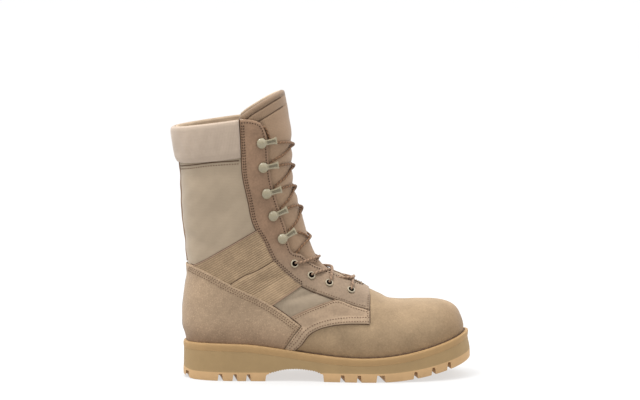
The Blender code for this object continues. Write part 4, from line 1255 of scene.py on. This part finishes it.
def hardware_mesh(name, points, faces, finishes, zones):
    """A mesh in millimetres about its own seat."""
    mesh = new_mesh(name, points / 1000, faces, finishes, zones)
    clean(mesh, TINY)
    smooth(mesh, HARDWARE_ANGLE)
    return mesh


def make_hardware():
    ring, ring_faces = turned(EYELET_PROFILE, True)
    # The bore's wall and a disc down in it take near black: painted shadow in the hole
    bore, bore_faces = turned(((EYELET_BORE, EYELET_DEPTH), (0.0, EYELET_DEPTH)), False)
    zones = [int(n % len(EYELET_PROFILE) < 2) for n in range(len(ring_faces))] + [1] * len(bore_faces)
    points, faces = joined([(ring, ring_faces), (bore, bore_faces)])
    eyelet = hardware_mesh("eyelet", points, faces, [EYELET_PAINT, EYELET_PAINTED_SHADOW], zones)
    arm, arm_faces, arm_zones = arm_mesh()
    head, head_faces = turned(HEAD_PROFILE, False)
    # The head's rim and underside, and the arm's deep groove, take the darker paint: painted shade
    zones = [int(n % (len(HEAD_PROFILE) - 1) >= HEAD_RIM) for n in range(len(head_faces))] + arm_zones
    points, faces = joined([(head, head_faces), (arm, arm_faces)])
    hook = hardware_mesh("hook", points, faces, [PAINT, HOOK_PAINTED_SHADE], zones)
    for side, label in SIDES:
        for number, (x, z) in enumerate(EYELETS, 1):
            hardware(f"eyelet_ring_{label}_{number}", eyelet, seat(x, z, side), f"eyelet_{label}_{number}")
        for number, (x, z, tip_x, tip_z) in enumerate(HOOKS, 1):
            where = seat(x, z, side, (tip_x, tip_z))
            hardware(f"speed_hook_{label}_{number}", hook, where, f"hook_{label}_{number}")


# Lace
LACE_RADIUS = 1.2
LACE_STEP = 0.8
LACE_ON_EYESTAY = OVERLAY + LACE_RADIUS + 0.3
LACE_UNDER_HOOK = 1.0
LACED_OUTWARD = 2
LACE_CROSSING = (0.0, 0.08, 0.12, 0.65)
LACE_PRESSED = 0.75
LACE_END = ((0.35, 3.0), (0.6, 1.6))
LACE_WIDE, LACE_NARROWS = 1.5, (122.0, 132.0)
LACE_SIDES = 10
LACE_LOOSE = 0.2
CROSSING_STEP, CROSSING_ASIDE = 0.05, 1.2

# The lace at an eyelet: shares of its lean and of the distance, what comes off that, and the height
EYELET_UNDER = ((-0.25, 0.72, 0.0, -1.8), (0.0, 1.0, 1.4, -2.2))
EYELET_OVER = (
    (0.0, 1.0, 1.0, 1.4), (0.15, 1.0, 4.0, LACE_ON_EYESTAY + 0.6), (0.55, 0.45, 0.0, LACE_ON_EYESTAY),
)

# The lace at a hook: steps along the rows, with a share of the opening or with what comes off it
FIRST_APPROACH, NEXT_APPROACH, HOOK_LEAVE = (-0.85, 0.33), (-0.24, 0.4), (0.25, 0.4)
HOOK_SIDES, HOOK_BESIDE, HOOK_UNDER = (-0.08, 0.09), 4.0, 0.8
TUCK_STEP, TUCK_BEYOND, TUCK_DEPTH = 0.12, 2.0, -1.4
RIDGE_ASIDE = 0.02


def over_tongue(u, distance, extra=0.0):
    """Height of a lace that lies on the tongue."""
    return float(tongue_rise(np.array(u), np.array(distance))) + LACE_RADIUS + 0.1 + extra


def throat_height(u):
    """Height over the ridge of a lace drawn straight from one eyestay's edge to the other."""
    return max(over_tongue(u, 0.0), LACE_ON_EYESTAY - float(section(u)["open"]))


def through_eyelets(first_side):
    """A strand's places (row, side, distance, height): out of the lower eyelets and into the upper ones."""
    way = []
    for n, (x, z) in enumerate(EYELETS):
        side = first_side * (-1) ** n
        u, distance = (float(v) for v in locate(np.array(x), np.array(z)))
        cross = u + LACE_CROSSING[n]
        inward = n >= LACED_OUTWARD
        lean = (way[-1][0] if inward else cross) - u
        under, over = (
            [(u + lean * leant, side, distance * share - less, height) for leant, share, less, height in rows]
            for rows in (EYELET_UNDER, EYELET_OVER)
        )
        way += [*over[::-1], *under[::-1]] if inward else [*under, *over]
        height = throat_height(cross) + LACE_PRESSED * LACE_RADIUS * (1 + first_side)
        way += [(cross + turn * CROSSING_STEP, -turn * side, CROSSING_ASIDE, height) for turn in (-1, 1)]
    return way


def round_hooks(first_side):
    """A strand's places from hook to hook across the tongue, and in under the eyestay at its end."""
    way = []

    def lay(step, distance, extra=LACE_LOOSE):
        way.append((u + step, side, distance, over_tongue(u + step, distance, extra)))

    for n, u in enumerate(HOOK_ROWS):
        side = first_side * (-1) ** (n + len(EYELETS))
        opening = float(section(u)["open"])
        step, share = NEXT_APPROACH if n else FIRST_APPROACH
        lay(step, opening * share)
        lay(HOOK_SIDES[0], opening - HOOK_BESIDE)
        way.append((u, side, opening - HOOK_UNDER, LACE_UNDER_HOOK))
        lay(HOOK_SIDES[1], opening - HOOK_BESIDE)
        if n + 1 < len(HOOK_ROWS):
            lay(HOOK_LEAVE[0], opening * HOOK_LEAVE[1])
            ridge = (u + HOOK_ROWS[n + 1]) / 2
            over = LACE_RADIUS * (1 + first_side * (-1) ** n)
            way.append((ridge, side, RIDGE_ASIDE, over_tongue(ridge, 0.0, over)))
    for step, short in LACE_END:
        lay(step, opening - short, 0.0)
    return [*way, (u + step + TUCK_STEP, side, opening + TUCK_BEYOND, TUCK_DEPTH)]


def lace_line(first_side):
    way = through_eyelets(first_side) + round_hooks(first_side)
    points = np.array([form(np.array(u), np.array(max(d, 0.01)), s, np.array(h)) for u, s, d, h in way])
    return spline(points, LACE_STEP)


def make_lace():
    """Two strands, wider and lighter where they are pulled through the eyelets."""
    strands, tubes, shades, maps = [lace_line(side) for side in (1, -1)], [], [], []
    for line in strands:
        wide = clamp((LACE_NARROWS[1] - line[:, 2]) / (LACE_NARROWS[1] - LACE_NARROWS[0]))
        tubes.append(tube(line, LACE_RADIUS + (LACE_WIDE - LACE_RADIUS) * wide, LACE_SIDES))
        shades.append(np.repeat(1 - wide, LACE_SIDES))
        along = np.repeat(np.arange(len(line)) * LACE_STEP, LACE_SIDES)
        maps.append(np.column_stack([np.tile(np.arange(LACE_SIDES) * 0.75, len(line)), along]))
    obj = piece("lace_cord", *joined(tubes), [CORD], "lace_cord", ["lace"], shade=np.concatenate(shades))
    cloth_map(obj.data, np.vstack(maps))


# Sole
TOE_SPRING, SPRING_START = 19.0, 202.0
HEEL_BEVEL, HEEL_BEVEL_LENGTH = 3.0, 14.0
TOE_FLARE, FLARE_START, WELT_FLARE = 2.4, 240.0, 0.1
HEEL_REACH = 0.9
LUG_BAND, LUG_DEPTH, GROOVE_SLANT = 8.5, 7.4, 6.0
SOLE_STEP = 2.6
HEEL_CLOSE = 0.1
WELT_SIDE = (
    (SOLE_LIP - 1.8, -0.1), (SOLE_LIP - 0.7, 0.15), (SOLE_LIP, 0.8), (SOLE_LIP + 0.3, 2.2),
    (SOLE_LIP + 0.25, 4.4), (SOLE_LIP - 0.05, 6.4), (SOLE_LIP - 0.25, MIDSOLE_THICK + 0.2),
)
OUTSOLE_SIDE = (
    (SOLE_LIP - 1.4, 1.0, 0.0), (SOLE_LIP - 0.2, 1.0, 0.0), (SOLE_LIP - 0.15, 0.8, 0.0),
    (SOLE_LIP - 0.1, 0.6, 2.0), (SOLE_LIP, 0.35, 4.5), (SOLE_LIP + 0.05, 0.1, LUG_BAND),
    (SOLE_LIP + 0.15, 0.0, LUG_BAND + 0.7), (SOLE_LIP + 0.35, 0.0, LUG_BAND - 0.6),
    (SOLE_LIP + 0.4, 0.0, 2.0), (SOLE_LIP + 0.2, 0.0, 0.6), (SOLE_LIP - 0.5, 0.0, 0.0),
)
# The side band between these rings takes the darker side rubber: painted shade of its slight hollow
SHADED_RINGS = (1, 6)
GROOVES = (
    (9.0, 5.0, 2.5), (41.5, 8.5, 3.5), (56.5, 8.0, 3.2), (70.5, 7.5, 3.2), (167.5, 7.5, 3.6),
    (184.5, 7.0, 3.4), (207.0, 12.0, 8.0), (244.0, 7.0, 3.0), (263.5, 7.0, 3.0), (281.0, 6.5, 3.0),
)
CUT_WIDTH, CUT_BELOW = 90.0, 8.0
OUTSOLE_ANGLE, WELT_ANGLE = 35, 60
ARCH = (
    (88.0, 5.5), (91.0, 7.6), (97.0, 9.6), (105.0, 11.6), (119.0, 12.8), (131.0, 12.0), (140.0, 10.4),
    (148.0, 7.0),
)
ARCH_TOOTH, ARCH_TOOTH_HEIGHT = 1.3, 0.9


def sole_ring():
    """Plan of the feather line, even points down the lateral side and back up the medial."""
    rows = np.linspace(0, ROW["heel_corner"], 900)
    halves = []
    for side, _ in SIDES:
        half = form(rows, reach(rows), side)[:, :2]
        half = half[(np.abs(half[:, 1] - section(rows)["mid"]) > 1.0) | (rows == 0)]
        halves.append(spline(np.vstack([half, (half[-1, 0] - HEEL_CLOSE, 0.0)]), SOLE_STEP))
    count = min(len(half) for half in halves)
    lateral, medial = (half[np.linspace(0, len(half) - 1, count).round().astype(int)] for half in halves)
    return np.vstack([lateral, medial[-2:0:-1]])


def grown(ring, lip):
    """A ring of the plan moved outward."""
    along = unit(np.roll(ring, -1, 0) - np.roll(ring, 1, 0))
    return ring + np.stack([-along[:, 1], along[:, 0]], 1) * np.reshape(lip, (-1, 1))


def stack(rings):
    """Points and faces through rings, with caps that join the two sides of the first and last ring."""
    count = len(rings[0])
    faces, last = wall_faces(len(rings), count), count // 2
    for low in (0, (len(rings) - 1) * count):
        faces += [(low + i, low + i + 1, low + (count - i - 1) % count, low + (count - i) % count)
                  for i in range(1, last - 1)]
        faces += [(low, low + 1, low + count - 1), (low + last - 1, low + last, low + last + 1)]
    return np.vstack(rings), faces


def tread(x):
    spring = TOE_SPRING * (np.maximum(x - SPRING_START, 0) / (SOLE_LENGTH - SPRING_START)) ** 2
    return spring + HEEL_BEVEL * clamp(1 - x / HEEL_BEVEL_LENGTH) ** 2


def cutter(name, points, faces):
    mesh = new_mesh(name, metres(points), faces)
    clean(mesh)
    return linked(name, mesh)


def cut(obj, tools):
    for tool in tools:
        modifier = obj.modifiers.new(tool.name, "BOOLEAN")
        modifier.operation = "DIFFERENCE"
        modifier.solver = "EXACT"
        modifier.object = tool
    bpy.context.view_layer.update()
    mesh = bpy.data.meshes.new_from_object(obj.evaluated_get(bpy.context.evaluated_depsgraph_get()))
    obj.modifiers.clear()
    obj.data = mesh
    for tool in tools:
        bpy.data.objects.remove(tool)


def arch_cutter():
    """A prism under the arch, its top finely toothed."""
    x = np.arange(ARCH[0][0], ARCH[-1][0], ARCH_TOOTH)
    z = curve(ARCH)(x) + ARCH_TOOTH_HEIGHT * (np.arange(len(x)) % 2)
    outline = [(x[0] - 1.0, -5.0), *zip(x, z), (x[-1] + 1.0, -5.0)]
    count = len(outline)
    points = [(x, y, z) for y in (-CUT_WIDTH, CUT_WIDTH) for x, z in outline]
    ends = [tuple(range(count)), tuple(range(count, 2 * count))]
    return cutter("arch_cutter", points, wall_faces(2, count) + ends)


def groove_cutter(side, label):
    box = ((0, 1, 3, 2), (4, 6, 7, 5), (0, 4, 5, 1), (2, 3, 7, 6), (0, 2, 6, 4), (1, 5, 7, 3))
    corners, boxes = [], []
    for x, floor_width, root_width in GROOVES:
        rise = float(tread(np.array(x)))
        first = len(corners)
        for y, shift in ((0.5 * side, -GROOVE_SLANT), (CUT_WIDTH * side, GROOVE_SLANT)):
            for z, width in ((rise - CUT_BELOW, floor_width), (rise + LUG_DEPTH, root_width)):
                corners += [(x + shift - width / 2, y, z), (x + shift + width / 2, y, z)]
        boxes += [tuple(first + k for k in face) for face in box]
    return cutter(f"groove_cutter_{label}", corners, boxes)


def make_sole():
    ring = sole_ring()
    flare = TOE_FLARE * between(ring[:, 0], FLARE_START, SOLE_LENGTH)
    heel = HEEL_REACH * clamp(1 - ring[:, 0] / HEEL_BEVEL_LENGTH)
    rings = []
    for lip, drop in WELT_SIDE:
        plan = grown(ring, lip + heel + WELT_FLARE * flare)
        rings.append(np.column_stack([plan, feather(plan[:, 0]) - drop]))
    welt = piece("welt_band", *stack(rings), [WELT], "welt_rubber", ["midsole"], smooth_angle=WELT_ANGLE)
    clean(welt.data)
    rings = []
    for lip, share, above in OUTSOLE_SIDE:
        plan = grown(ring, lip + heel + flare * (1 - (1 - WELT_FLARE) * share**2))
        x = plan[:, 0]
        top = feather(x) - MIDSOLE_THICK - GAP
        rings.append(np.column_stack([plan, tread(x) + above + share * (top - tread(x))]))
    points, faces = stack(rings)
    low, high = (n * len(ring) for n in SHADED_RINGS)
    zones = [int(low <= n < high) for n in range(len(faces))]
    outsole = piece("lugged_sole", points, faces, [RUBBER, SIDE_RUBBER], "rubber", ["outsole"], zones)
    clean(outsole.data)
    cut(outsole, [arch_cutter(), *(groove_cutter(side, label) for side, label in SIDES)])
    smooth(outsole.data, OUTSOLE_ANGLE)


# Stage
CAMERA_PLACE = (-0.030, -2.400, 0.420)
CAMERA_AIM = (-0.001, 0.0, 0.186)
CAMERA_LENS = 128.8
FLOOR = ((-30.0, -30.0), (30.0, 60.0))
FLOOR_GLOW = 0.6
STUDIO_BACK, STUDIO_FRONT, STUDIO_TOP = 1.1, 0.22, 1.25
LAMPS = (("key", (-0.7, -0.6, 2.6), 0.8, 42.0),)
LAMP_AIM = (0, 0, 0.12)


def make_studio(world):
    """A white room, bright behind and above the boot and dimmer on the camera's side."""
    world.use_nodes = True
    nodes, links = world.node_tree.nodes, world.node_tree.links
    split = nodes.new("ShaderNodeSeparateXYZ")
    links.new(nodes.new("ShaderNodeTexCoord").outputs["Generated"], split.inputs["Vector"])
    total = nodes.new("ShaderNodeMath")
    ranges = (("Y", -0.7, 0.1, STUDIO_FRONT, STUDIO_BACK), ("Z", 0.2, 1.0, 0.0, STUDIO_TOP))
    for number, (axis, low, high, dim, bright) in enumerate(ranges):
        step = nodes.new("ShaderNodeMapRange")
        for key, value in (("From Min", low), ("From Max", high), ("To Min", dim), ("To Max", bright)):
            step.inputs[key].default_value = value
        links.new(split.outputs[axis], step.inputs["Value"])
        links.new(step.outputs["Result"], total.inputs[number])
    links.new(total.outputs[0], nodes["Background"].inputs["Strength"])
    nodes["Background"].inputs["Color"].default_value = (1.0, 1.0, 1.0, 1.0)


def aimed(name, data, place, target):
    """A lamp or camera at a place, turned to a target."""
    obj = linked(name, data)
    obj.location = place
    obj.rotation_euler = (Vector(target) - Vector(place)).to_track_quat("-Z", "Y").to_euler()
    return obj


def make_stage():
    scene = bpy.context.scene
    scene.view_settings.view_transform = "Standard"
    scene.world = bpy.data.worlds.new("studio")
    make_studio(scene.world)
    white = plain("floor_white", (0.26, 0.26, 0.26), 0.9, specular=0.0, vary=0.0)
    shader = white.node_tree.nodes["Principled BSDF"].inputs
    shader["Emission Color"].default_value = (1.0, 1.0, 1.0, 1.0)
    shader["Emission Strength"].default_value = FLOOR_GLOW
    (x0, y0), (x1, y1) = FLOOR
    corners = [(x0, y0, 0), (x1, y0, 0), (x1, y1, 0), (x0, y1, 0)]
    linked("floor", new_mesh("floor", corners, [(0, 1, 2, 3)], [white]))
    for name, place, size, power in LAMPS:
        lamp = bpy.data.lights.new(name, "AREA")
        lamp.size = size
        lamp.energy = power
        aimed(name, lamp, place, LAMP_AIM)
    camera = aimed("camera", bpy.data.cameras.new("camera"), CAMERA_PLACE, CAMERA_AIM)
    camera.data.lens = CAMERA_LENS
    camera.data.sensor_width = 36.0
    camera.data.clip_end = 100.0
    scene.camera = camera


make_body()
make_panels()
make_cuff()
make_tongue()
make_seams()
make_hardware()
make_lace()
make_sole()
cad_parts["insole"].data.materials.clear()
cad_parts["insole"].data.materials.append(LINING)
make_stage()
